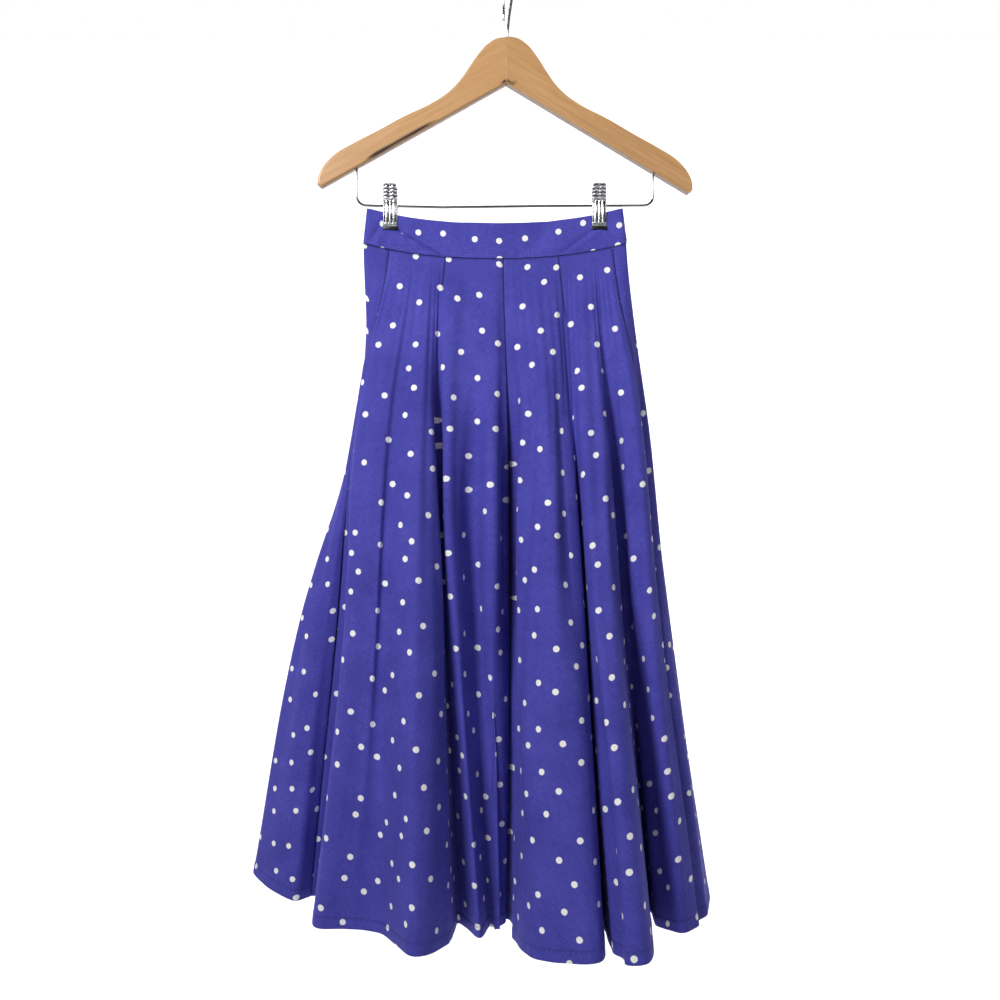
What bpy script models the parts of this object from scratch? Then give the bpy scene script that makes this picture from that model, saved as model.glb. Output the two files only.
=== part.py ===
"""Half-circle skirt hanging from a wooden clip hanger.

Metres, +Z up.  The front of the skirt faces -Y and its left is -X.  The origin is the inside of the
hanger's hook, where it sits on a rail, so everything else hangs below it.
"""
import math

import bmesh
import bpy
import numpy as np
from mathutils import Matrix, Vector

# ---------------------------------------------------------------- driving sizes of the skirt
WAIST_CENTRE_X = -0.0155      # the band hangs a little left of the hook
WAIST_WIDTH = 0.311           # band laid flat, at its lower edge
BAND_TOP_SHARE = 0.970        # the band's upper edge is this much of the lower one
BAND_HEIGHT = 0.042
BAND_SAG = 0.0195             # how far the middle drops between the clips
WAIST_END_Z = -0.3150         # waist seam at the two ends of the band
CLOTH_LENGTH = 0.795          # waist seam to hem, along the cloth
PANEL_WALL = 0.0015
BAND_WALL = 0.0024
POCKET_WALL = 0.0010
TAPE_WALL = 0.0010
SEAM_GAP = 0.0003
END_ROUNDNESS = 30            # how square the ends of the flat band are
OVERLAP = 0.030               # how far the band's end laps over its start, at the back
OVERLAP_RISE = 0.020          # the stretch in which the end climbs over the start

# ---------------------------------------------------------------- driving sizes of the hanger
APEX_Z = -0.0713              # top of the wood under the hook
ARM_THICKNESS = 0.012
ARM_EDGE_RADIUS = 0.0025
HANGER_TILT = math.radians(0.9)
HOOK_WIRE = 0.0032
HOOK_RADIUS = 0.021           # centre line of the bend
HOOK_TURN = math.radians(-76) # the hook's plane, turned from the wood's
BAR_WIRE = 0.0028
BAR_Z = -0.2695
BORE_CLEARANCE = 0.0004
LEG_X = (-0.1792, 0.1721)     # the bar's two legs
LEG_TOP_Z = -0.2180
LEG_BEND = 0.011
CLIP_X = (-0.1395, 0.1080)
CLIP_WIDTHS = (0.0146, 0.0176)  # at its top and at its jaws
CLIP_PLATE = 0.0010
SPRING_RADIUS = 0.0036
SPRING_LENGTH = 0.0110
TIP_HEIGHT = 0.0036

# ---------------------------------------------------------------- driving sizes of the fastening
ZIP_DEPTH = 0.20              # share of the cloth's length that the zip opens
SLIDER_SIZE = Vector((0.0060, 0.0030, 0.0090))
SLIDER_PLACE = 0.020
PIN_RADIUS = 0.0007
PIN_STAND = 0.0024
BARREL_RADIUS = 0.0019
BARREL_LENGTH = 0.0030
POST_SIZE = Vector((0.0010, 0.0040, 0.0022))
TAB_SIZE = Vector((0.0052, 0.0011, 0.0200))
POST_TOP = 0.0008             # how far the posts reach past the pin's centre
TAB_START = 0.0017            # from the pin's centre, past the posts' corners
BUTTON_RADIUS = 0.0080
BUTTON_THICKNESS = 0.0028

# Levels down the cloth, as shares of its length: waist seam, hip, knee and hem.
LEVELS = (0.0, 0.22, 0.58, 1.0)
BAND_REACH = 0.20             # share of the length in which the band's own flat shape fades out
START_FLARE = 0.45            # the folds leave the waist at this share of their mean slope

# The folds, in millimetres, once round from the left side: front to the right, back to the left.
# Each row is a crest, a valley or a seam: where it starts on the waist seam, then its place in plan
# (across, and back from the hanger's own plane) at the hip, the knee and the hem.
FOLDS = (
    # name            waist    hip         knee        hem
    ("side_left",     -171,   (-172, 14), (-257, 50), (-321, 82)),
    ("left_flap",     -147,   (-177, 3),  (-224, 20), (-261, 32)),
    ("seam_left",     -141,   (-178, -4), (-208, 26), (-243, 50)),
    ("left_valley",   -136,   (-176, -8), (-194, 20), (-231, 56)),
    ("fold_1_edge",   -130,   (-168, -15), (-189, -20), (-224, -30)),
    ("fold_1_face",   -118,   (-143, -22), (-157, -34), (-184, -24)),
    ("fold_1_dip",    -111,   (-130, -20), (-145, -28), (-149, -28)),
    ("fold_1_crest",  -95,    (-102, -27), (-105, -60), (-103, -92)),
    ("fold_1_side",   -86,    (-89, -18), (-78, -40), (-69, -50)),
    ("valley_1",      -78,    (-84, -6),  (-75, 0),   (-59, 12)),
    ("fold_2_crest",  -66,    (-73, -15), (-58, -24), (-33, -28)),
    ("valley_2",      -45,    (-45, -8),  (-38, 5),   (-22, 9)),
    ("fold_3_crest",  -21,    (-18, -16), (-19, -14), (-12, -3)),
    ("seam_front",    -6,     (-1, -10),  (2, 5),     (-3, 24)),
    ("fold_4_edge",   7,      (18, -22),  (12, -30),  (7, -24)),
    ("fold_4_face",   20,     (37, -32),  (27, -62),  (26, -82)),
    ("fold_4_crest",  38,     (50, -34),  (50, -72),  (58, -104)),
    ("fold_4_side",   52,     (64, -28),  (80, -66),  (97, -111)),
    ("valley_3",      68,     (74, -14),  (93, -6),   (112, -10)),
    ("fold_5_edge",   82,     (88, -24),  (101, -66), (123, -131)),
    ("fold_5_side",   93,     (103, -24), (119, -66), (146, -136)),
    ("valley_4",      106,    (118, -10), (142, 0),   (171, 20)),
    ("fold_6_edge",   113,    (133, -16), (154, -22), (177, -40)),
    ("fold_6_crest",  119,    (145, -20), (169, -34), (199, -54)),
    ("seam_right",    124,    (153, -12), (182, -22), (219, -38)),
    ("side_right",    140,    (160, 8),   (194, 12),  (245, 30)),
    ("back_1_crest",  128,    (154, 18),  (196, 46),  (238, 92)),
    ("back_valley_1", 112,    (128, 14),  (160, 42),  (186, 58)),
    ("back_2_edge",   92,     (112, 24),  (138, 74),  (170, 152)),
    ("back_2_side",   74,     (84, 26),   (100, 78),  (118, 160)),
    ("back_valley_2", 58,     (66, 14),   (76, 40),   (88, 50)),
    ("back_3_edge",   38,     (44, 26),   (52, 76),   (62, 150)),
    ("back_3_side",   20,     (22, 26),   (22, 76),   (20, 158)),
    ("seam_back",     0,      (-4, 15),   (-6, 46),   (-8, 58)),
    ("back_4_edge",   -22,    (-26, 24),  (-34, 66),  (-44, 142)),
    ("back_4_side",   -40,    (-48, 26),  (-62, 76),  (-84, 162)),
    ("back_valley_3", -60,    (-68, 14),  (-88, 42),  (-118, 52)),
    ("back_5_edge",   -80,    (-90, 25),  (-118, 72), (-156, 150)),
    ("back_5_side",   -100,   (-114, 25), (-146, 76), (-198, 156)),
    ("back_valley_4", -118,   (-136, 15), (-178, 52), (-232, 86)),
    ("back_6_edge",   -136,   (-154, 21), (-212, 74), (-272, 158)),
    ("back_6_side",   -154,   (-168, 19), (-242, 72), (-308, 134)),
)
FOLD_NAMES = [fold[0] for fold in FOLDS]

# Half the distance between the band's front and back, in millimetres, where the clips pinch it and
# where it stands open.  The place is a share of half the band's width.
WAIST_GAPS = (
    # place             share   half gap
    ("left end",        -1.00,  3.6),
    ("clip 1, outside", -0.865, 1.7),
    ("clip 1, inside",  -0.73,  1.7),
    ("middle",          -0.05,  9.0),
    ("clip 2, inside",  0.725,  1.7),
    ("clip 2, outside", 0.86,   1.7),
    ("right end",       1.00,   3.6),
)

# One arm of the hanger, in millimetres from the middle of its top: (outwards, down).
ARM_TOP = ((0.15, 0), (12, 2), (24, 9.5), (36.5, 24.5), (47, 40.5), (57, 54.5), (70, 67.5), (87, 79),
           (121, 96), (153, 114), (181, 129), (200, 140.5), (213, 153), (221, 168), (222, 178))
ARM_BOTTOM = ((217, 181.5), (0.15, 55))

# A clip's plate from the side, in millimetres: above the bar, and out from the bar's own plane.
CLIP_SECTIONS = (
    # name        up      out
    ("handle",    24.5,   9.2),
    ("pinch",     12.0,   6.2),
    ("pivot",     0.0,    4.6),
    ("belly",     -10.0,  5.2),
    ("jaw",       -25.0,  3.8),
)


# ---------------------------------------------------------------- small helpers
def finish(name, colour, roughness, metallic=0.0):
    """A plain Principled material."""
    material = bpy.data.materials.new(name)
    material.use_nodes = True
    shader = material.node_tree.nodes["Principled BSDF"]
    shader.inputs["Base Color"].default_value = (*colour, 1.0)
    shader.inputs["Roughness"].default_value = roughness
    shader.inputs["Metallic"].default_value = metallic
    material.diffuse_color = (*colour, 1.0)
    return material


def add_object(name, mesh_work, material):
    """Make a bmesh into a named object."""
    bmesh.ops.recalc_face_normals(mesh_work, faces=mesh_work.faces[:])
    mesh = bpy.data.meshes.new(name)
    mesh_work.to_mesh(mesh)
    mesh_work.free()
    mesh.materials.append(material)
    made = bpy.data.objects.new(name, mesh)
    bpy.context.collection.objects.link(made)
    return made


def cut(target, cutter):
    """Cut one object with another, which stays as a hidden guide."""
    cutter.hide_render = True
    cutter.display_type = "WIRE"
    bore = target.modifiers.new("bore", "BOOLEAN")
    bore.operation = "DIFFERENCE"
    bore.solver = "EXACT"
    bore.object = cutter


def join_shapes(target, other):
    """Fuse a second shape, left as a hidden guide, into the first."""
    cut(target, other)
    target.modifiers[-1].operation = "UNION"


def slopes(places, values):
    """Slope at each point of a smooth curve through unevenly spaced values."""
    steps = np.diff(places)[:, None]
    rates = np.diff(values, axis=0) / steps
    inner = (rates[:-1] * steps[1:] + rates[1:] * steps[:-1]) / (steps[1:] + steps[:-1])
    return np.vstack((rates[:1], inner, rates[-1:]))


def smooth_through(places, values, at, start_share=1.0):
    """A smooth curve through values at places, read at other places."""
    tangent = slopes(places, values)
    tangent[0] *= start_share
    span = np.clip(np.searchsorted(places, at, side="right") - 1, 0, len(places) - 2)
    step = (places[span + 1] - places[span])[:, None]
    t = ((at - places[span])[:, None]) / step
    start, end = values[span], values[span + 1]
    rise = tangent[span] * step
    land = tangent[span + 1] * step
    return (start * (2 * t**3 - 3 * t**2 + 1) + rise * (t**3 - 2 * t**2 + t)
            + end * (3 * t**2 - 2 * t**3) + land * (t**3 - t**2))


# ---------------------------------------------------------------- the waist seam
GAP_PLACES = np.array([row[1] for row in WAIST_GAPS])
GAP_VALUES = np.array([[row[2] / 1000] for row in WAIST_GAPS])


def turn_at(x, back):
    """Where a point across the band lies round the waist: 0 left end, 1 right end, 2 left again."""
    share = np.clip((x - WAIST_CENTRE_X) / (WAIST_WIDTH / 2), -1, 1)
    turn = math.acos(-share) / math.pi
    return 2 - turn if back else turn


def waist_point(turn, height=0.0):
    """Points of the flat, sagging waist ring, at a height above its seam."""
    share = -np.cos(np.pi * turn)
    half_gap = smooth_through(GAP_PLACES, GAP_VALUES, share)[:, 0]
    rounding = np.sqrt(np.clip(1 - np.abs(share)**END_ROUNDNESS, 0, 1))
    side = -np.sign(np.sin(np.pi * turn))
    taper = 1 - (1 - BAND_TOP_SHARE) * height / BAND_HEIGHT
    x = WAIST_CENTRE_X + share * taper * WAIST_WIDTH / 2
    z = WAIST_END_Z - BAND_SAG * (1 - share**2) + height
    return np.stack((x, side * rounding * half_gap, z), axis=1)


# ---------------------------------------------------------------- the skirt's cloth
FOLD_TURNS = np.array([turn_at(fold[1] / 1000, FOLD_NAMES.index("side_right") < place)
                       for place, fold in enumerate(FOLDS)])
FOLD_STARTS = waist_point(FOLD_TURNS)
FOLD_PLANS = np.array([fold[2:] for fold in FOLDS]) / 1000


def fold_walk():
    """A parameter round the skirt that is longer where neighbouring folds lie further apart."""
    hem = FOLD_PLANS[:, -1]
    strides = np.sqrt(np.linalg.norm(np.roll(hem, -1, axis=0) - hem, axis=1))
    return np.concatenate(([0.0], np.cumsum(strides)))


WALK = fold_walk()
ROUND = WALK[-1]
WRAP = 3                      # folds repeated at each end, so that the curve closes smoothly


def around(values, step=0.0):
    """Repeat a closed row of values past both its ends."""
    return np.concatenate((values[-WRAP:] - step, values, values[:WRAP] + step))


PLACES = around(WALK[:-1], ROUND)
TURNS = around(FOLD_TURNS, 2.0)


def cloth_points(walk, level):
    """Points of the skirt's middle surface: walk goes round it and level down it."""
    plans = np.concatenate((FOLD_STARTS[:, None, :2], FOLD_PLANS), axis=1).transpose(1, 0, 2)
    row = smooth_through(np.array(LEVELS), plans.reshape(len(LEVELS), -1), np.array([level]), START_FLARE)
    spread = np.linalg.norm(FOLD_PLANS[:, -1] - FOLD_STARTS[:, :2], axis=1)
    drops = np.sqrt(CLOTH_LENGTH**2 - spread**2)
    folds = np.column_stack((row.reshape(len(FOLDS), 2), FOLD_STARTS[:, 2] - level * drops))
    fade = max(0.0, 1 - level / BAND_REACH)**2
    flat = waist_point(np.interp(walk, PLACES, TURNS) % 2) - smooth_through(PLACES, around(FOLD_STARTS), walk)
    return smooth_through(PLACES, around(folds), walk) + fade * flat


def cloth_grid(walks, levels):
    """Points and outward normals of the skirt over a grid."""
    nudge = 1e-4
    rows, normals = [], []
    for level in levels:
        along = cloth_points(walks + nudge, level) - cloth_points(walks - nudge, level)
        down = cloth_points(walks, level + nudge) - cloth_points(walks, max(level - nudge, 0))
        normal = np.cross(down, along)
        rows.append(cloth_points(walks, level))
        normals.append(normal / np.linalg.norm(normal, axis=1)[:, None])
    return np.array(rows), np.array(normals)


def wall(name, outer, inner, material):
    """A sheet of cloth or metal: a grid given its outer face, extruded to its inner one."""
    rows, columns = outer.shape[:2]
    work = bmesh.new()
    bmesh.ops.create_grid(work, x_segments=columns - 1, y_segments=rows - 1, size=1)
    place = work.verts.layers.int.new("place")
    for number, vertex in enumerate(work.verts):
        vertex[place] = number
        vertex.co = outer.reshape(-1, 3)[number]
    thick = bmesh.ops.extrude_face_region(work, geom=work.faces[:], use_keep_orig=True)
    for vertex in thick["geom"]:
        if isinstance(vertex, bmesh.types.BMVert):
            vertex.co = inner.reshape(-1, 3)[vertex[place]]
    return add_object(name, work, material)


def panel_walks(first, last, steps):
    """The walk from one seam to the next, with even steps between its folds."""
    start, end = FOLD_NAMES.index(first), FOLD_NAMES.index(last)
    if end <= start:
        end += len(FOLDS)
    stops = [WALK[number % len(FOLDS)] + ROUND * (number // len(FOLDS)) for number in range(start, end + 1)]
    evenly = [np.linspace(a, b, steps, endpoint=False) for a, b in zip(stops, stops[1:])]
    return np.concatenate(evenly + [stops[-1:]])


PANEL_LEVELS = np.concatenate((np.linspace(0, 0.24, 8), np.linspace(0.30, 1.0, 9)))
FOLD_STEPS = 2
SEAM_TRIM = 0.8               # share of the seam gap that each panel's edge stands back


def build_panel(name, first, last, material):
    """One of the four cut pieces of the skirt."""
    walks = panel_walks(first, last, FOLD_STEPS)
    points, normals = cloth_grid(walks, PANEL_LEVELS)
    points[0, :, 2] -= SEAM_GAP / 2
    normals[0] *= (1, 1, 0)
    nudge = 1e-4
    for column, side in ((0, 1), (-1, -1)):
        for row, level in enumerate(PANEL_LEVELS):
            ends = cloth_points(walks[column] + np.array([-nudge, nudge]), level)
            along = (ends[1] - ends[0]) / np.linalg.norm(ends[1] - ends[0])
            points[row, column] += side * along * SEAM_GAP * SEAM_TRIM
    half = PANEL_WALL / 2
    return wall(name, points + normals * half, points - normals * half, material)


def build_panels(material):
    """Four panels: seams at the centre front, at the centre back and at both sides."""
    build_panel("front_panel_left", "seam_left", "seam_front", material)
    build_panel("front_panel_right", "seam_front", "seam_right", material)
    build_panel("back_panel_right", "seam_right", "seam_back", material)
    build_panel("back_panel_left", "seam_back", "seam_left", material)


# ---------------------------------------------------------------- waistband
BACK_TURN = turn_at(0.0, back=True)
METRES_PER_TURN = WAIST_WIDTH / 2 * math.pi * math.sin(math.pi * (BACK_TURN % 1))


def band_row(turns, height, offset):
    """A row of band points, moved outwards by an offset that may change along the row."""
    nudge = 1e-4
    along = waist_point((turns + nudge) % 2) - waist_point((turns - nudge) % 2)
    outward = np.stack((along[:, 1], -along[:, 0], np.zeros(len(turns))), axis=1)
    outward /= np.linalg.norm(outward, axis=1)[:, None]
    return waist_point(turns % 2, height) + outward * np.reshape(offset, (-1, 1))


def overlap_rise(turns):
    """How far the band's last stretch stands out, to lap over its start."""
    before = (BACK_TURN + 2 - turns) * METRES_PER_TURN
    share = np.clip(1 - before / OVERLAP_RISE, 0, 1)
    return (BAND_WALL + 2 * SEAM_GAP) * share**2 * (3 - 2 * share)


def build_waistband(material):
    """A strip once round the waist seam, whose end laps over its start at the back."""
    turns = np.concatenate((np.linspace(BACK_TURN, BACK_TURN + 2, 91),
                            BACK_TURN + 2 + np.array([0.5, 1.0]) * OVERLAP / METRES_PER_TURN))
    rise = overlap_rise(turns)
    heights = np.linspace(SEAM_GAP / 2, BAND_HEIGHT, 3)
    outer = np.array([band_row(turns, height, rise + BAND_WALL / 2) for height in heights])
    inner = np.array([band_row(turns, height, rise - BAND_WALL / 2) for height in heights])
    return wall("waistband", outer, inner, material)


# ---------------------------------------------------------------- pockets
POCKETS = (
    # name                seam          into   top    foot   width  stand
    ("pocket_bag_left",   "seam_left",  1,     0.10,  0.33,  0.105, 0.0014),
    ("pocket_bag_right",  "seam_right", -1,    0.10,  0.33,  0.105, 0.0003),
)
BAG_OPEN = 0.0026             # between the bag's two layers at its mouth
BAG_ROUNDING = 0.75           # share of its width that the bag loses towards its foot
BAG_MOUTH = 0.75              # share of its width that the bag has at its top
BAG_LAYERS = np.array([-1, -0.97, -0.8, -0.55, -0.3, -0.12, 0, 0.12, 0.3, 0.55, 0.8, 0.97, 1])


def build_pocket(name, seam, into, top, foot, width, stand, material):
    """A bag of thin cloth folded in half: two layers from the pocket's mouth to the fold."""
    mouth_walk = np.array([WALK[FOLD_NAMES.index(seam)]])
    rows = []
    for level in np.linspace(top, foot, 9):
        point, normal = cloth_grid(mouth_walk, [level])
        depth = PANEL_WALL / 2 + 2 * SEAM_GAP + POCKET_WALL / 2
        mouth = point[0, 0] - normal[0, 0] * depth
        share = (level - top) / (foot - top)
        belly = math.sin(math.pi * min(share * 1.2, 1))
        reach = width * (1 - BAG_ROUNDING * share**3) * (BAG_MOUTH + (1 - BAG_MOUTH) * belly)
        inward = 1 - np.abs(BAG_LAYERS)
        spread = np.sqrt(1 - inward**6) * np.sign(BAG_LAYERS) * BAG_OPEN / 2
        middle_y = (mouth[1] + BAG_OPEN / 2) * (1 - np.clip(inward * 3.2, 0, 1))**2
        x = mouth[0] + into * (stand + inward * reach)
        rows.append(np.stack((x, middle_y + spread, np.full(len(x), mouth[2])), axis=1))
    points = np.array(rows)
    along = np.gradient(points, axis=1)
    down = np.gradient(points, axis=0)
    normals = np.cross(down, along) * into
    normals /= np.linalg.norm(normals, axis=2)[:, :, None]
    half = POCKET_WALL / 2
    return wall(name, points + normals * half, points - normals * half, material)


# ---------------------------------------------------------------- zip and button at the back
def build_zip(material):
    """The tape of a zip behind the centre back seam."""
    seam = FOLD_NAMES.index("seam_back")
    reach = np.array([-0.42, -0.2, 0, 0.2, 0.42])
    walks = WALK[seam] + np.where(reach < 0, reach * (WALK[seam] - WALK[seam - 1]),
                                  reach * (WALK[seam + 1] - WALK[seam]))
    points, normals = cloth_grid(walks, np.linspace(0.004, ZIP_DEPTH, 8))
    outer = PANEL_WALL / 2 + 1.5 * SEAM_GAP
    return wall("zip_tape", points - normals * outer, points - normals * (outer + TAPE_WALL), material)


def seam_frame():
    """Across, outwards and up on the centre back seam, where the slider sits."""
    walks = np.array([WALK[FOLD_NAMES.index("seam_back")]])
    level = SLIDER_PLACE
    point, normal = cloth_grid(walks, [level])
    down = cloth_points(walks, level + 0.01)[0] - cloth_points(walks, level)[0]
    outward = Vector(normal[0, 0])
    up = -Vector(down).normalized()
    across = outward.cross(up).normalized()
    outward = up.cross(across).normalized()
    return Vector(point[0, 0]), across, outward, up


def framed(origin, across, outward, up):
    """The matrix of a piece that stands in a frame of its own."""
    turn = Matrix((across, outward, up)).transposed().to_4x4()
    return Matrix.Translation(origin) @ turn


def block(name, size, material, matrix, bevel=0.0):
    """A box with rounded edges."""
    work = bmesh.new()
    bmesh.ops.create_cube(work, size=1, matrix=Matrix.Diagonal((*size, 1)))
    if bevel:
        bmesh.ops.bevel(work, geom=work.edges[:], offset=bevel, segments=2, profile=0.5,
                        affect="EDGES", material=-1)
    made = add_object(name, work, material)
    made.matrix_world = matrix
    return made


def rod(name, radius, length, material, matrix, sides=20):
    """A round bar along its own Z."""
    work = bmesh.new()
    bmesh.ops.create_cone(work, cap_ends=True, segments=sides, radius1=radius, radius2=radius, depth=length)
    made = add_object(name, work, material)
    made.matrix_world = matrix
    return made


def build_slider_and_pull(material):
    """A slider on the seam and, on its cross pin, a pull tab that swings."""
    seam, across, outward, up = seam_frame()
    base = PANEL_WALL / 2 + SEAM_GAP
    centre = seam + outward * (base + SLIDER_SIZE.y / 2)
    pivot = centre + outward * (SLIDER_SIZE.y / 2 + PIN_STAND)
    lie_across = Matrix.Rotation(math.radians(90), 4, "Y")
    frame = framed(centre, across, outward, up)
    pin_frame = framed(pivot, across, outward, up)
    slider = block("zip_slider", SLIDER_SIZE, material, frame, bevel=0.0006)
    post_place = BARREL_LENGTH / 2 + BORE_CLEARANCE + POST_SIZE.x / 2
    post_depth = POST_SIZE.y / 2 - POST_TOP
    for side in (-1, 1):
        post = block(f"guide_post_{side + 1}", POST_SIZE, material,
                     pin_frame @ Matrix.Translation((side * post_place, -post_depth, 0)))
        join_shapes(slider, post)
    pin = rod("guide_pin", PIN_RADIUS, 2 * post_place, material, pin_frame @ lie_across, sides=12)
    join_shapes(slider, pin)
    pull = rod("zip_pull", BARREL_RADIUS, BARREL_LENGTH, material, pin_frame @ lie_across, sides=24)
    tab = block("guide_tab", TAB_SIZE, material,
                pin_frame @ Matrix.Translation((0, 0, -TAB_SIZE.z / 2 - TAB_START)), bevel=0.0004)
    join_shapes(pull, tab)
    bore = rod("guide_bore", PIN_RADIUS + BORE_CLEARANCE, 0.02, material, pin_frame @ lie_across, sides=16)
    cut(pull, bore)
    return pivot, across


def build_button(material):
    """The button that closes the band, sewn where its end laps over its start."""
    turn = np.array([BACK_TURN + 2 + 0.5 * OVERLAP / METRES_PER_TURN])
    stand = overlap_rise(turn)[0] + BAND_WALL / 2 + SEAM_GAP + BUTTON_THICKNESS / 2
    centre = Vector(band_row(turn, BAND_HEIGHT / 2, stand)[0])
    outward = (centre - Vector(band_row(turn, BAND_HEIGHT / 2, 0.0)[0])).normalized()
    work = bmesh.new()
    bmesh.ops.create_cone(work, cap_ends=True, segments=32, radius1=BUTTON_RADIUS, radius2=BUTTON_RADIUS,
                          depth=BUTTON_THICKNESS)
    rims = [edge for edge in work.edges if abs(edge.verts[0].co.z - edge.verts[1].co.z) < 1e-6]
    bmesh.ops.bevel(work, geom=rims, offset=0.0007, segments=2, profile=0.5, affect="EDGES", material=-1)
    button = add_object("waist_button", work, material)
    button.matrix_world = Matrix.Translation(centre) @ outward.to_track_quat("Z", "Y").to_matrix().to_4x4()


# ---------------------------------------------------------------- hanger
def hanger_place(side, outwards, down):
    """A point of an arm, in millimetres from the middle of its top, in the tilted hanger."""
    tilt = Matrix.Rotation(HANGER_TILT, 3, "Y")
    return tilt @ Vector((side * outwards / 1000, 0, APEX_Z - down / 1000))


def build_arm(name, side, material):
    """One flat wooden arm, with rounded edges and a square mitre at the middle."""
    work = bmesh.new()
    outline = [work.verts.new(hanger_place(side, *point)) for point in ARM_TOP + ARM_BOTTOM]
    face = work.faces.new(outline)
    bmesh.ops.translate(work, verts=outline, vec=(0, -ARM_THICKNESS / 2, 0))
    back = bmesh.ops.extrude_face_region(work, geom=[face], use_keep_orig=True)
    moved = [part for part in back["geom"] if isinstance(part, bmesh.types.BMVert)]
    bmesh.ops.translate(work, verts=moved, vec=(0, ARM_THICKNESS, 0))
    limit = 0.001
    rims = [edge for edge in work.edges if abs(edge.verts[0].co.y - edge.verts[1].co.y) < limit
            and max(abs(v.co.x) for v in edge.verts) > 0.004]
    bmesh.ops.bevel(work, geom=rims, offset=ARM_EDGE_RADIUS, segments=2, profile=0.5, affect="EDGES",
                    material=-1, clamp_overlap=True)
    return add_object(name, work, material)


def wire(name, points, thickness, material, detail=2):
    """A round wire along a row of points."""
    curve = bpy.data.curves.new(name, "CURVE")
    curve.dimensions = "3D"
    spline = curve.splines.new("POLY")
    spline.points.add(len(points) - 1)
    for spot, point in zip(spline.points, points):
        spot.co = (*point, 1)
    curve.bevel_depth = thickness / 2
    curve.bevel_resolution = detail
    curve.use_fill_caps = True
    curve.materials.append(material)
    made = bpy.data.objects.new(name, curve)
    bpy.context.collection.objects.link(made)
    return made


def arc(centre, radius, start, end, steps):
    """Points of an arc in the XZ plane; the angles are degrees from +X towards +Z."""
    angles = np.radians(np.linspace(start, end, steps))
    return [Vector((centre[0] + radius * math.cos(a), 0, centre[1] + radius * math.sin(a))) for a in angles]


HOOK_CENTRE_Z = -(HOOK_RADIUS - HOOK_WIRE / 2)
SHANK_FOOT_Z = -0.0900
NECK_Z = -0.0580


def build_hook(material):
    """A shank out of the wood, a neck to one side and a bend over the rail."""
    bend = arc((0, HOOK_CENTRE_Z), HOOK_RADIUS, -15, 180, 16)
    neck = [Vector((0, 0, SHANK_FOOT_Z)), Vector((0, 0, NECK_Z)), Vector((0.0030, 0, NECK_Z + 0.007)),
            Vector((0.0110, 0, NECK_Z + 0.018)), Vector((0.0175, 0, NECK_Z + 0.027))]
    tip = [Vector((-HOOK_RADIUS, 0, HOOK_CENTRE_Z - 0.008)),
           Vector((-HOOK_RADIUS + 0.0006, 0, HOOK_CENTRE_Z - 0.015)),
           Vector((-HOOK_RADIUS - 0.0004, 0, HOOK_CENTRE_Z - 0.021))]
    turn = Matrix.Rotation(HOOK_TURN, 3, "Z")
    return wire("hook", [turn @ point for point in neck + bend + tip], HOOK_WIRE, material)


def build_clip_bar(material):
    """A wire with two legs up into the arms and a bar, slightly bowed, that the clips slide on."""
    left, right = LEG_X
    start = arc((left + LEG_BEND, BAR_Z + LEG_BEND), LEG_BEND, 180, 270, 6)
    end = arc((right - LEG_BEND, BAR_Z + LEG_BEND), LEG_BEND, 270, 360, 6)
    bowed = [Vector((-0.079, 0, BAR_Z - 0.0022)), Vector((0.030, 0, BAR_Z - 0.0008))]
    points = [Vector((left, 0, LEG_TOP_Z)), *start, *bowed, *end, Vector((right, 0, LEG_TOP_Z))]
    return wire("clip_bar", points, BAR_WIRE, material)


def bar_height(x):
    """How high the bar lies at a place along it."""
    return float(np.interp(x, (LEG_X[0] + LEG_BEND, -0.079, 0.030, LEG_X[1] - LEG_BEND),
                           (BAR_Z, BAR_Z - 0.0022, BAR_Z - 0.0008, BAR_Z)))


def clip_plate(name, x, facing, material):
    """One bent plate of a clip, wider at its jaw."""
    height = bar_height(x)
    ups = np.array([row[1] for row in CLIP_SECTIONS]) / 1000
    outs = np.array([[row[2] / 1000] for row in CLIP_SECTIONS])
    fine = np.linspace(ups.min(), ups.max(), 11)
    out = smooth_through(ups[::-1], outs[::-1], fine)[:, 0]
    half = np.interp(fine, (ups.min(), ups.max()), CLIP_WIDTHS[::-1]) / 2
    rows = []
    for thickness in (CLIP_PLATE / 2, -CLIP_PLATE / 2):
        sides = [np.stack((x + side * half, facing * (out + thickness), height + fine), axis=1)
                 for side in (-1, 1)]
        rows.append(np.stack(sides, axis=1))
    return wall(name, rows[0], rows[1], material)


def build_clip(label, x, metal, rubber):
    """Two plates on a coiled spring round the bar, each with a dipped tip."""
    height = bar_height(x)
    along_bar = Matrix.Rotation(math.radians(90), 4, "Y")
    spring = rod(f"clip_{label}_spring", SPRING_RADIUS, SPRING_LENGTH, metal,
                 Matrix.Translation((x, 0, height)) @ along_bar, sides=24)
    bore = rod(f"guide_spring_{label}", BAR_WIRE / 2 + BORE_CLEARANCE, 0.03, metal,
               Matrix.Translation((x, 0, height)) @ along_bar, sides=16)
    cut(spring, bore)
    jaw_up, jaw_out = CLIP_SECTIONS[-1][1] / 1000, CLIP_SECTIONS[-1][2] / 1000
    for part, facing in (("front", -1), ("back", 1)):
        clip_plate(f"clip_{label}_{part}", x, facing, metal)
        size = (CLIP_WIDTHS[1], CLIP_PLATE, TIP_HEIGHT)
        block(f"clip_{label}_tip_{part}", size, rubber,
              Matrix.Translation((x, facing * jaw_out, height + jaw_up - SEAM_GAP - TIP_HEIGHT / 2)),
              bevel=0.0003)


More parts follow.
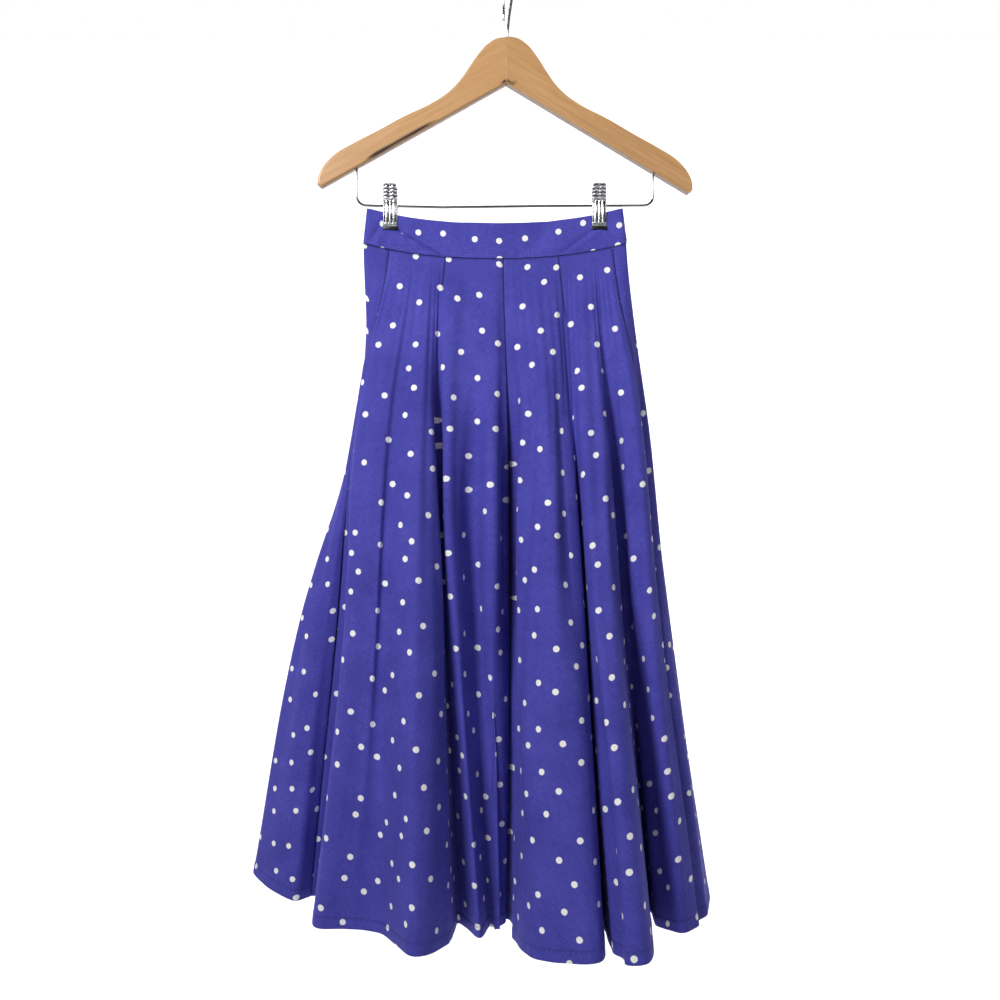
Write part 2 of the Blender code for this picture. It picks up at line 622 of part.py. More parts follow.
def build_hanger(wood, metal, rubber):
    """Arms bored for the hook and for the bar's legs, and the clips on the bar."""
    hook_bore = rod("guide_hook_bore", HOOK_WIRE / 2 + BORE_CLEARANCE, 0.06, wood,
                    Matrix.Translation((0, 0, SHANK_FOOT_Z + 0.028)), sides=20)
    for name, side, leg in (("hanger_arm_left", -1, LEG_X[0]), ("hanger_arm_right", 1, LEG_X[1])):
        arm = build_arm(name, side, wood)
        bore_length = 0.06
        leg_bore = rod(f"guide_leg_bore_{side + 1}", BAR_WIRE / 2 + BORE_CLEARANCE, bore_length, wood,
                       Matrix.Translation((leg, 0, LEG_TOP_Z + 0.0005 - bore_length / 2)), sides=16)
        cut(arm, hook_bore)
        cut(arm, leg_bore)
    build_hook(metal)
    build_clip_bar(metal)
    for label, x in zip(("left", "right"), CLIP_X):
        build_clip(label, x, metal, rubber)


# ---------------------------------------------------------------- the whole thing
def main():
    for old in list(bpy.data.objects):
        bpy.data.objects.remove(old, do_unlink=True)
    cotton = finish("dyed cotton", (0.055, 0.048, 0.34), 0.85)
    lining = finish("pocket cotton", (0.075, 0.065, 0.36), 0.9)
    wood = finish("varnished beech", (0.58, 0.34, 0.14), 0.4)
    chrome = finish("chromed steel", (0.75, 0.76, 0.78), 0.15, 1.0)
    rubber = finish("black dip", (0.02, 0.02, 0.02), 0.5)
    resin = finish("button resin", (0.06, 0.05, 0.30), 0.35)
    build_panels(cotton)
    build_waistband(cotton)
    for name, seam, into, top, foot, width, stand in POCKETS:
        build_pocket(name, seam, into, top, foot, width, stand, lining)
    build_zip(lining)
    pivot, across = build_slider_and_pull(chrome)
    build_button(resin)
    build_hanger(wood, chrome, rubber)
    print("zip pull pivot", [round(value, 5) for value in pivot], "axis", [round(value, 4) for value in across])


main()
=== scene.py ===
# %% [markdown]
# # A circle skirt on a wooden clip hanger
# The skirt is cut from woven cotton in four flared panels, sewn to a narrow band and held flat by two
# sprung clips.  Most of its look comes from one thing: a hem four times as long as the waist has to go
# somewhere, so the cloth stands in deep upright folds.  The model starts from a frame of plain solids,
# and each cell replaces some of them with a finished piece in the same place.

# %% Load the frame
import math

import bmesh
import bpy
import numpy as np
from mathutils import Matrix, Vector


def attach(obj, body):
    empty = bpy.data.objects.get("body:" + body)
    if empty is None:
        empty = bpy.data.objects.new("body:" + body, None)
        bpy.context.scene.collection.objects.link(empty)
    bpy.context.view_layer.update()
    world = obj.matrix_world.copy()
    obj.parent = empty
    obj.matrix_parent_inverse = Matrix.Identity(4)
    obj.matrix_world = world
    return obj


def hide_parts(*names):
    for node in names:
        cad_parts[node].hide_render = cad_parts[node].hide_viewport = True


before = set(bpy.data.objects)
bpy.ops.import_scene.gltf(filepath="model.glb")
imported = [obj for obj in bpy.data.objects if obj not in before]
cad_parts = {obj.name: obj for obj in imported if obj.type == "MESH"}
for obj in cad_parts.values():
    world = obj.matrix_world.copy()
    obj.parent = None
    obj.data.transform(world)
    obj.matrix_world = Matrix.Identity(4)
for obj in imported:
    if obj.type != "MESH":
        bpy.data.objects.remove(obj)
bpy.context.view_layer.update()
MAIN_BODY = "skirt_and_hanger"

# %% [markdown]
# ## Camera, backdrop and light
# The camera stands 1.2 metres in front, level, at the height of the skirt's middle.  That is close
# enough to see the underside of the hanger's arms.  The backdrop is one sheet, floor and wall joined
# by a wide bend, so that no corner shows behind the cloth.

# %% Camera
CAMERA_PLACE = Vector((-0.0095, -1.2, -0.619))
CAMERA_LENS = 36.4            # millimetres, on a 36 mm sensor

camera_data = bpy.data.cameras.new("camera")
camera_data.lens = CAMERA_LENS
camera_data.sensor_width = 36
camera = bpy.data.objects.new("camera", camera_data)
camera.location = CAMERA_PLACE
camera.rotation_euler = (math.radians(90), 0, 0)
bpy.context.collection.objects.link(camera)
bpy.context.scene.camera = camera


# %% [markdown]
# ## Helpers for finishes
# Every finish here is one shader with a few nodes before it.  A dye or a varnish is named by the hex
# colour a maker would write down, so one function turns it into the linear light that shaders add up.

# %% Colour and node helpers
def linear(hex_colour):
    """An sRGB hex colour as linear red, green, blue and alpha."""
    channels = [int(hex_colour[place:place + 2], 16) / 255 for place in (1, 3, 5)]
    return tuple(c / 12.92 if c <= 0.04045 else ((c + 0.055) / 1.055)**2.4 for c in channels) + (1.0,)


def add_node(tree, kind, feeds=(), **settings):
    """Add a node; feeds are its sockets with a value or another node's output for each."""
    made = tree.nodes.new(kind)
    for name, value in settings.items():
        setattr(made, name, value)
    for socket, value in feeds:
        if isinstance(value, bpy.types.NodeSocket):
            tree.links.new(value, made.inputs[socket])
        else:
            made.inputs[socket].default_value = value
    return made


def new_material(name, roughness, metallic=0.0, colour="#808080"):
    """A Principled material, its node tree and its shader."""
    material = bpy.data.materials.new(name)
    material.use_nodes = True
    shader = material.node_tree.nodes["Principled BSDF"]
    shader.inputs["Roughness"].default_value = roughness
    shader.inputs["Metallic"].default_value = metallic
    shader.inputs["Base Color"].default_value = linear(colour)
    return material, material.node_tree, shader


def link_object(name, data, *materials):
    """Put a mesh or curve into the scene with its materials."""
    made = bpy.data.objects.new(name, data)
    for material in materials:
        data.materials.append(material)
    bpy.context.collection.objects.link(made)
    return made


# %% [markdown]
# ## Paper and lamps
# A roll of matt paper makes a floor and a wall with no corner between them.  A large soft lamp on the
# left models the folds, and small cards give the chrome something to reflect.

# %% Backdrop and lights
FLOOR_Z = -1.60
WALL_Y = 2.6
BEND_RADIUS = 0.9

work = bmesh.new()
bmesh.ops.create_grid(work, x_segments=1, y_segments=48, size=3.6)
for vertex in work.verts:
    along = vertex.co.y
    start = WALL_Y - BEND_RADIUS
    bend_length = BEND_RADIUS * math.pi / 2
    into = (along + 3.6) * 1.1 - 3.0
    if into <= start:
        vertex.co.y, vertex.co.z = into, FLOOR_Z
    elif into <= start + bend_length:
        angle = (into - start) / BEND_RADIUS
        vertex.co.y = start + BEND_RADIUS * math.sin(angle)
        vertex.co.z = FLOOR_Z + BEND_RADIUS * (1 - math.cos(angle))
    else:
        vertex.co.y, vertex.co.z = WALL_Y, FLOOR_Z + BEND_RADIUS + into - start - bend_length
bmesh.ops.recalc_face_normals(work, faces=work.faces[:])
paper_mesh = bpy.data.meshes.new("backdrop")
work.to_mesh(paper_mesh)
work.free()
paper_mesh.shade_smooth()
paper_white, _, _ = new_material("matt white paper", 0.95, colour="#F7F7F7")
backdrop = link_object("backdrop", paper_mesh, paper_white)

LIGHTS = (
    # name          place                  aims at              size  watts  spread
    ("key",         (-1.20, -1.65, 0.55),  (0.0, 0.0, -0.22),   0.6,  15.0,  100),
    ("arm_light",   (0.90, -0.95, 0.35),   (0.2, 0.0, -0.18),   0.3,  2.6,   180),
    ("card_low",    (-0.35, -1.60, -1.25), (-0.1, 0.0, -0.28),  0.5,  1.4,   180),
    ("card_right",  (0.60, -1.75, -0.85),  (0.1, 0.0, -0.28),   0.4,  1.2,   180),
    ("wall_left",   (-2.0, 1.2, 0.9),      (-0.3, 2.6, -0.7),   1.0,  52,    150),
    ("wall_right",  (2.0, 1.2, 0.9),       (0.3, 2.6, -0.7),    1.0,  52,    150),
)
for name, place, aim, size, watts, spread in LIGHTS:
    lamp = bpy.data.lights.new(name, "AREA")
    lamp.size = size
    lamp.energy = watts
    lamp.spread = math.radians(spread)
    lamp_object = bpy.data.objects.new(name, lamp)
    lamp_object.location = place
    lamp_object.rotation_euler = (Vector(aim) - Vector(place)).to_track_quat("-Z", "Y").to_euler()
    bpy.context.collection.objects.link(lamp_object)

world = bpy.data.worlds.new("studio")
world.use_nodes = True
rays = add_node(world.node_tree, "ShaderNodeLightPath")
glow = add_node(world.node_tree, "ShaderNodeMapRange", [("Value", rays.outputs["Is Camera Ray"]),
                ("To Min", 0.10), ("To Max", 1.0)])
backing = world.node_tree.nodes["Background"]
backing.inputs["Color"].default_value = linear("#FFFFFF")
world.node_tree.links.new(glow.outputs["Result"], backing.inputs["Strength"])
bpy.context.scene.world = world
bpy.context.scene.view_settings.view_transform = "Standard"

# %% [markdown]
# ## The cloth's form
# A circle skirt's folds run from the waist seam to the hem and widen as they go, so a row of crests
# and valleys, each given at the hip, the knee and the hem, describes them all.  A smooth curve
# through a row at one height is a section of the skirt, and the cloth's constant length from waist to
# hem says how far down each fold reaches.  The table repeats the one that the solids were made from.

# %% Sizes of the skirt
WAIST_CENTRE_X = -0.0155
WAIST_WIDTH = 0.311
BAND_TOP_SHARE = 0.970
BAND_HEIGHT = 0.042
BAND_SAG = 0.0195
WAIST_END_Z = -0.3150
CLOTH_LENGTH = 0.795
PANEL_WALL = 0.0015
BAND_WALL = 0.0024
SEAM_GAP = 0.0003
END_ROUNDNESS = 30
OVERLAP = 0.030
OVERLAP_RISE = 0.020
LEVELS = (0.0, 0.22, 0.58, 1.0)
BAND_REACH = 0.20
START_FLARE = 0.45            # the folds leave the waist at this share of their mean slope

FOLDS = (
    # name            waist    hip         knee        hem, in millimetres
    ("side_left",     -171,   (-172, 14), (-257, 50), (-321, 82)),
    ("left_flap",     -147,   (-177, 3),  (-224, 20), (-261, 32)),
    ("seam_left",     -141,   (-178, -4), (-208, 26), (-243, 50)),
    ("left_valley",   -136,   (-176, -8), (-194, 20), (-231, 56)),
    ("fold_1_edge",   -130,   (-168, -15), (-189, -20), (-224, -30)),
    ("fold_1_face",   -118,   (-143, -22), (-157, -34), (-184, -24)),
    ("fold_1_dip",    -111,   (-130, -20), (-145, -28), (-149, -28)),
    ("fold_1_crest",  -95,    (-102, -27), (-105, -60), (-103, -92)),
    ("fold_1_side",   -86,    (-89, -18), (-78, -40), (-69, -50)),
    ("valley_1",      -78,    (-84, -6),  (-75, 0),   (-59, 12)),
    ("fold_2_crest",  -66,    (-73, -15), (-58, -24), (-33, -28)),
    ("valley_2",      -45,    (-45, -8),  (-38, 5),   (-22, 9)),
    ("fold_3_crest",  -21,    (-18, -16), (-19, -14), (-12, -3)),
    ("seam_front",    -6,     (-1, -10),  (2, 5),     (-3, 24)),
    ("fold_4_edge",   7,      (18, -22),  (12, -30),  (7, -24)),
    ("fold_4_face",   20,     (37, -32),  (27, -62),  (26, -82)),
    ("fold_4_crest",  38,     (50, -34),  (50, -72),  (58, -104)),
    ("fold_4_side",   52,     (64, -28),  (80, -66),  (97, -111)),
    ("valley_3",      68,     (74, -14),  (93, -6),   (112, -10)),
    ("fold_5_edge",   82,     (88, -24),  (101, -66), (123, -131)),
    ("fold_5_side",   93,     (103, -24), (119, -66), (146, -136)),
    ("valley_4",      106,    (118, -10), (142, 0),   (171, 20)),
    ("fold_6_edge",   113,    (133, -16), (154, -22), (177, -40)),
    ("fold_6_crest",  119,    (145, -20), (169, -34), (199, -54)),
    ("seam_right",    124,    (153, -12), (182, -22), (219, -38)),
    ("side_right",    140,    (160, 8),   (194, 12),  (245, 30)),
    ("back_1_crest",  128,    (154, 18),  (196, 46),  (238, 92)),
    ("back_valley_1", 112,    (128, 14),  (160, 42),  (186, 58)),
    ("back_2_edge",   92,     (112, 24),  (138, 74),  (170, 152)),
    ("back_2_side",   74,     (84, 26),   (100, 78),  (118, 160)),
    ("back_valley_2", 58,     (66, 14),   (76, 40),   (88, 50)),
    ("back_3_edge",   38,     (44, 26),   (52, 76),   (62, 150)),
    ("back_3_side",   20,     (22, 26),   (22, 76),   (20, 158)),
    ("seam_back",     0,      (-4, 15),   (-6, 46),   (-8, 58)),
    ("back_4_edge",   -22,    (-26, 24),  (-34, 66),  (-44, 142)),
    ("back_4_side",   -40,    (-48, 26),  (-62, 76),  (-84, 162)),
    ("back_valley_3", -60,    (-68, 14),  (-88, 42),  (-118, 52)),
    ("back_5_edge",   -80,    (-90, 25),  (-118, 72), (-156, 150)),
    ("back_5_side",   -100,   (-114, 25), (-146, 76), (-198, 156)),
    ("back_valley_4", -118,   (-136, 15), (-178, 52), (-232, 86)),
    ("back_6_edge",   -136,   (-154, 21), (-212, 74), (-272, 158)),
    ("back_6_side",   -154,   (-168, 19), (-242, 72), (-308, 134)),
)
FOLD_NAMES = [fold[0] for fold in FOLDS]

WAIST_GAPS = (
    # place             share   half gap, in millimetres
    ("left end",        -1.00,  3.6),
    ("clip 1, outside", -0.865, 1.7),
    ("clip 1, inside",  -0.73,  1.7),
    ("middle",          -0.05,  9.0),
    ("clip 2, inside",  0.725,  1.7),
    ("clip 2, outside", 0.86,   1.7),
    ("right end",       1.00,   3.6),
)


# %% [markdown]
# ## Smooth curves
# Cloth bends without corners, so what lies between two given folds is read from a smooth curve.

# %% Smooth curves through a few values
def slopes(places, values):
    """Slope at each point of a smooth curve through unevenly spaced values."""
    steps = np.diff(places)[:, None]
    rates = np.diff(values, axis=0) / steps
    inner = (rates[:-1] * steps[1:] + rates[1:] * steps[:-1]) / (steps[1:] + steps[:-1])
    return np.vstack((rates[:1], inner, rates[-1:]))


def smooth_through(places, values, at, start_share=1.0):
    """A smooth curve through values at places, read at other places."""
    tangent = slopes(places, values)
    tangent[0] *= start_share
    span = np.clip(np.searchsorted(places, at, side="right") - 1, 0, len(places) - 2)
    step = (places[span + 1] - places[span])[:, None]
    t = (at - places[span])[:, None] / step
    start, end = values[span], values[span + 1]
    rise = tangent[span] * step
    land = tangent[span + 1] * step
    return (start * (2 * t**3 - 3 * t**2 + 1) + rise * (t**3 - 2 * t**2 + t)
            + end * (3 * t**2 - 2 * t**3) + land * (t**3 - t**2))


# %% [markdown]
# ## The waist seam
# The band is a nearly flat ring: the clips pinch it, it sags between them, and it stands open in the
# middle.  Everything on the skirt is placed by how far round this ring it lies.

# %% The waist seam
GAP_PLACES = np.array([row[1] for row in WAIST_GAPS])
GAP_VALUES = np.array([[row[2] / 1000] for row in WAIST_GAPS])


def turn_at(x, back):
    """Where a point across the band lies round the waist: 0 left end, 1 right end, 2 left again."""
    share = np.clip((x - WAIST_CENTRE_X) / (WAIST_WIDTH / 2), -1, 1)
    turn = math.acos(-share) / math.pi
    return 2 - turn if back else turn


def waist_point(turn, height=0.0):
    """Points of the flat, sagging waist ring, at a height above its seam."""
    share = -np.cos(np.pi * turn)
    half_gap = smooth_through(GAP_PLACES, GAP_VALUES, share)[:, 0]
    rounding = np.sqrt(np.clip(1 - np.abs(share)**END_ROUNDNESS, 0, 1))
    side = -np.sign(np.sin(np.pi * turn))
    taper = 1 - (1 - BAND_TOP_SHARE) * height / BAND_HEIGHT
    x = WAIST_CENTRE_X + share * taper * WAIST_WIDTH / 2
    z = WAIST_END_Z - BAND_SAG * (1 - share**2) + height
    return np.stack((x, side * rounding * half_gap, z), axis=1)


# %% [markdown]
# ## From the folds to the cloth
# The table gives each fold from above.  Its height follows, since the cloth keeps its length: a fold
# that swings outward cannot hang as low as one that drops straight down.

# %% The folds
FOLD_TURNS = np.array([turn_at(fold[1] / 1000, FOLD_NAMES.index("side_right") < place)
                       for place, fold in enumerate(FOLDS)])
FOLD_STARTS = waist_point(FOLD_TURNS)
FOLD_PLANS = np.array([fold[2:] for fold in FOLDS]) / 1000
HEM = FOLD_PLANS[:, -1]
WALK = np.concatenate(([0.0], np.cumsum(np.sqrt(np.linalg.norm(np.roll(HEM, -1, axis=0) - HEM, axis=1)))))
ROUND = WALK[-1]
WRAP = 3


def around(values, step=0.0):
    """Repeat a closed row of values past both its ends."""
    return np.concatenate((values[-WRAP:] - step, values, values[:WRAP] + step))


PLACES = around(WALK[:-1], ROUND)
TURNS = around(FOLD_TURNS, 2.0)


def cloth_points(walk, level):
    """Points of the skirt's middle surface: walk goes round it and level down it."""
    plans = np.concatenate((FOLD_STARTS[:, None, :2], FOLD_PLANS), axis=1).transpose(1, 0, 2)
    row = smooth_through(np.array(LEVELS), plans.reshape(len(LEVELS), -1), np.array([level]),
                         start_share=START_FLARE)
    spread = np.linalg.norm(FOLD_PLANS[:, -1] - FOLD_STARTS[:, :2], axis=1)
    drops = np.sqrt(CLOTH_LENGTH**2 - spread**2)
    folds = np.column_stack((row.reshape(len(FOLDS), 2), FOLD_STARTS[:, 2] - level * drops))
    fade = max(0.0, 1 - level / BAND_REACH)**2
    turn = smooth_through(PLACES, TURNS[:, None], walk)[:, 0] % 2
    flat = waist_point(turn) - smooth_through(PLACES, around(FOLD_STARTS), walk)
    return smooth_through(PLACES, around(folds), walk) + fade * flat


def cloth_grid(walks, levels):
    """Points and outward normals of the skirt over a grid."""
    nudge = 1e-4
    rows, normals = [], []
    for level in levels:
        along = cloth_points(walks + nudge, level) - cloth_points(walks - nudge, level)
        down = cloth_points(walks, level + nudge) - cloth_points(walks, max(level - nudge, 0))
        normal = np.cross(down, along)
        rows.append(cloth_points(walks, level))
        normals.append(normal / np.linalg.norm(normal, axis=1)[:, None])
    return np.array(rows), np.array(normals)


hem_walk = np.linspace(0, ROUND, 1200)
hem_line = cloth_points(hem_walk, 1.0)
HEM_LENGTH = float(np.linalg.norm(np.diff(hem_line, axis=0), axis=1).sum())
WAIST_LENGTH = float(np.linalg.norm(np.diff(cloth_points(hem_walk, 0.0), axis=0), axis=1).sum())
WAIST_RADIUS = CLOTH_LENGTH * WAIST_LENGTH / (HEM_LENGTH - WAIST_LENGTH)
print(f"waist {WAIST_LENGTH:.3f} m, hem {HEM_LENGTH:.3f} m, cut from a ring of radius {WAIST_RADIUS:.3f} m")

# %% [markdown]
# ## Creases
# The big folds come from the cut, but cloth that has been worn and hung also has small soft marks:
# shallow troughs where it was sat on, ripples where a seam draws it up, and dents beside the darts.
# Each soft mark is a row: where it lies round the skirt, its stretch down the cloth, how far it drifts
# sideways, and its width and depth.  The deep troughs between the big folds are alike in all but their
# place, their lean and their reach, so a loop makes their rows from shared sizes.

# %% Crease table
TROUGH_SHIFT = 0.008          # deep troughs lie this far beside a fold, or in the valley itself
TROUGH_DRIFT = 0.020          # how far one leans on its way down
TROUGH_WIDTH = 0.0085
TROUGH_DEPTH = 0.0075
TROUGH_LEVELS = {"high": (0.12, 0.70), "low": (0.50, 1.25), "long": (0.15, 1.25)}
TROUGHS = (
    # near fold       side  lean  reach
    ("valley_1",      0,    0,    "high"),
    ("valley_2",      1,    -1,   "high"),
    ("fold_3_crest",  -1,   1,    "low"),
    ("seam_front",    1,    1,    "long"),
    ("fold_4_side",   -1,   1,    "high"),
    ("fold_5_edge",   -1,   -1,   "low"),
    ("valley_4",      0,    0,    "high"),
    ("fold_6_edge",   -1,   1,    "low"),
)
DEEP_CREASES = tuple(
    (near, side * TROUGH_SHIFT, *TROUGH_LEVELS[reach], lean * TROUGH_DRIFT, TROUGH_WIDTH, TROUGH_DEPTH)
    for near, side, lean, reach in TROUGHS
)
CREASES = DEEP_CREASES + (
    # near fold       shift    top    foot   drift   width   depth, in metres; levels are shares
    ("left_valley",   0.000,   0.10,  0.60,  0.000,  0.006,   0.0025),
    ("fold_1_face",   0.006,   0.10,  0.50,  0.030,  0.009,  0.0016),
    ("fold_1_dip",    -0.010,  0.30,  0.97,  -0.020, 0.010,  0.0028),
    ("fold_1_face",   -0.012,  0.45,  0.88,  0.010,  0.006,  0.0010),
    ("fold_2_crest",  0.008,   0.10,  0.55,  0.012,  0.005,  0.0012),
    ("fold_3_crest",  -0.004,  0.08,  0.48,  0.006,  0.006,  0.0010),
    ("fold_3_crest",  0.008,   0.42,  0.92,  -0.004, 0.005,  0.0014),
    ("fold_4_edge",   0.007,   0.12,  0.50,  0.018,  0.006,  0.0012),
    ("fold_4_face",   0.004,   0.20,  0.86,  -0.012, 0.009,  0.0012),
    ("fold_4_crest",  0.010,   0.10,  0.60,  0.015,  0.008,  0.0010),
    ("fold_4_crest",  -0.016,  0.55,  0.99,  0.008,  0.011,  0.0020),
    ("fold_5_edge",   0.008,   0.12,  0.50,  0.006,  0.005,  0.0012),
    ("fold_5_side",   -0.004,  0.48,  0.97,  0.004,  0.006,  0.0011),
    ("fold_6_edge",   0.004,   0.10,  0.62,  0.008,  0.005,  0.0012),
    ("fold_6_crest",  0.004,   0.40,  0.95,  0.010,  0.008,  0.0016),
    ("side_left",     0.010,   0.30,  0.95,  0.020,  0.011,  0.0022),
    ("side_right",    -0.008,  0.25,  0.90,  0.012,  0.009,  0.0016),
    ("back_2_edge",   0.012,   0.20,  0.80,  0.010,  0.008,  0.0014),
    ("back_2_side",   -0.008,  0.55,  0.98,  -0.014, 0.010,  0.0018),
    ("back_3_edge",   0.010,   0.08,  0.55,  0.008,  0.007,  0.0013),
    ("back_3_side",   -0.006,  0.50,  0.97,  0.012,  0.009,  0.0016),
    ("back_4_edge",   0.008,   0.12,  0.66,  -0.010, 0.007,  0.0012),
    ("back_4_side",   0.006,   0.45,  0.96,  0.010,  0.010,  0.0018),
    ("back_5_edge",   0.010,   0.10,  0.58,  0.012,  0.008,  0.0013),
    ("back_5_side",   -0.010,  0.52,  0.98,  -0.008, 0.010,  0.0019),
    ("back_6_edge",   0.008,   0.18,  0.74,  0.012,  0.008,  0.0015),
)
DARTS = (
    # near fold       shift    foot   drift, in metres
    ("valley_1",      0.0045,  0.050, -0.004),
    ("fold_4_side",   0.008,   0.105, 0.006),
)
HEM_DEPTH = 0.0125            # the turned-up hem
HEM_STEP = 0.0004             # how far its second layer stands out
SEAM_DIP = 0.0011
SEAM_WIDTH = 0.0022


def metres_along(walks, level, start):
    """Distance along the cloth from a walk, at a level."""
    points = cloth_points(walks, level)
    lengths = np.concatenate(([0.0], np.cumsum(np.linalg.norm(np.diff(points, axis=0), axis=1))))
    return lengths - np.interp(start, walks, lengths)


def bump(distance, width):
    """A soft rounded ridge of height 1."""
    return np.exp(-(distance / width)**2)


def fade_in(value, start, end):
    """0 before start, 1 after end, and smooth between."""
    share = np.clip((value - start) / (end - start), 0, 1)
    return share * share * (3 - 2 * share)


def window(level, top, foot):
    """Rises and falls softly between two levels, with its middle above the centre."""
    rise = fade_in(level, top, top + (foot - top) * 0.35)
    return rise * (1 - fade_in(level, foot - (foot - top) * 0.45, foot))


def relief(walks, level, first_walk, last_walk):
    """How far a row of a panel stands out from its plain form, and how much painted shade darkens it at its
    seams, darts, hem line and waist.
    """
    height = np.zeros(len(walks))
    # Painted shade: besides the relief, each point gets a darkening share at the seams, darts, hem line and
    # waist row, where shade would lie in them.
    groove_shade = np.zeros(len(walks))
    for near, shift, top, foot, drift, width, depth in CREASES:
        strength = window(level, top, foot)
        centre = WALK[FOLD_NAMES.index(near)]
        for centre in (centre, centre + ROUND):
            if strength > 0 and first_walk - 1 < centre < last_walk + 1:
                wander = shift + drift * (level - top) + 0.003 * math.sin(9 * level + 40 * shift)
                distance = metres_along(walks, level, centre) - wander
                trough = bump(distance, width * (1.0 + 0.9 * level))
                ridge = bump(distance - width * 2.4, width) + bump(distance + width * 2.4, width)
                height += depth * strength * (0.35 * ridge - trough)
    for near, shift, foot, drift in DARTS:
        centre = WALK[FOLD_NAMES.index(near)]
        if level < foot * 1.6 and first_walk < centre < last_walk:
            distance = metres_along(walks, level, centre) - shift - drift * level / foot
            seam = bump(distance, 0.0010) * (1 - fade_in(level, foot * 0.85, foot))
            groove_shade = np.maximum(groove_shade, 0.9 * seam)
            dent = bump(distance, 0.009) * (1 - fade_in(level, foot, foot * 1.6)) * fade_in(level, 0, foot)
            height -= 0.0009 * seam + 0.0014 * dent
    from_start = metres_along(walks, level, first_walk)
    from_end = metres_along(walks, level, last_walk)
    pucker = 1 + 0.35 * math.sin(level * 150) * math.sin(level * 57 + 1.3)
    for distance in (from_start, from_end):
        height -= SEAM_DIP * pucker * bump(distance, SEAM_WIDTH)
        groove_shade = np.maximum(groove_shade, bump(distance, 0.0009))
    ripple = np.sin(walks * 31 + 5 * level) * np.sin(walks * 12.7 + 3)
    height += 0.0007 * ripple * fade_in(level, 0.0, 0.1)
    above_hem = (1 - level) * CLOTH_LENGTH
    hem_line_dip = bump(above_hem - HEM_DEPTH, 0.0012)
    hem_ripple = np.sin(walks * 140 + 3 * np.sin(walks * 37)) * bump(above_hem - HEM_DEPTH, 0.008)
    height += HEM_STEP * fade_in(-above_hem, -HEM_DEPTH - 0.001, -HEM_DEPTH + 0.001)
    height += -0.0004 * hem_line_dip + 0.00022 * hem_ripple
    groove_shade = np.maximum(groove_shade, 0.35 * hem_line_dip)
    groove_shade = np.maximum(groove_shade, 0.8 * bump(level, 0.0016))
    return height, groove_shade


# %% [markdown]
# ## Cotton with dots
# The cloth is a plain woven cotton, dyed violet blue, with round white spots resisted out of the dye.
# A weave this fine barely shows from a metre away: the eye reads it as matt colour with thin streaks
# where single threads are thicker.  Colour and dots are placed by the piece's own map, which is the
# flat cut piece in metres, so that the dots bend with the folds and are cut off at the seams.

# %% Cotton material
DOT_PITCH = 0.0355            # metres from one dot to the next, on average
DOT_RADIUS = 0.0036
THREAD = 0.0010               # drawn twice as coarse as the real threads, so that it shows


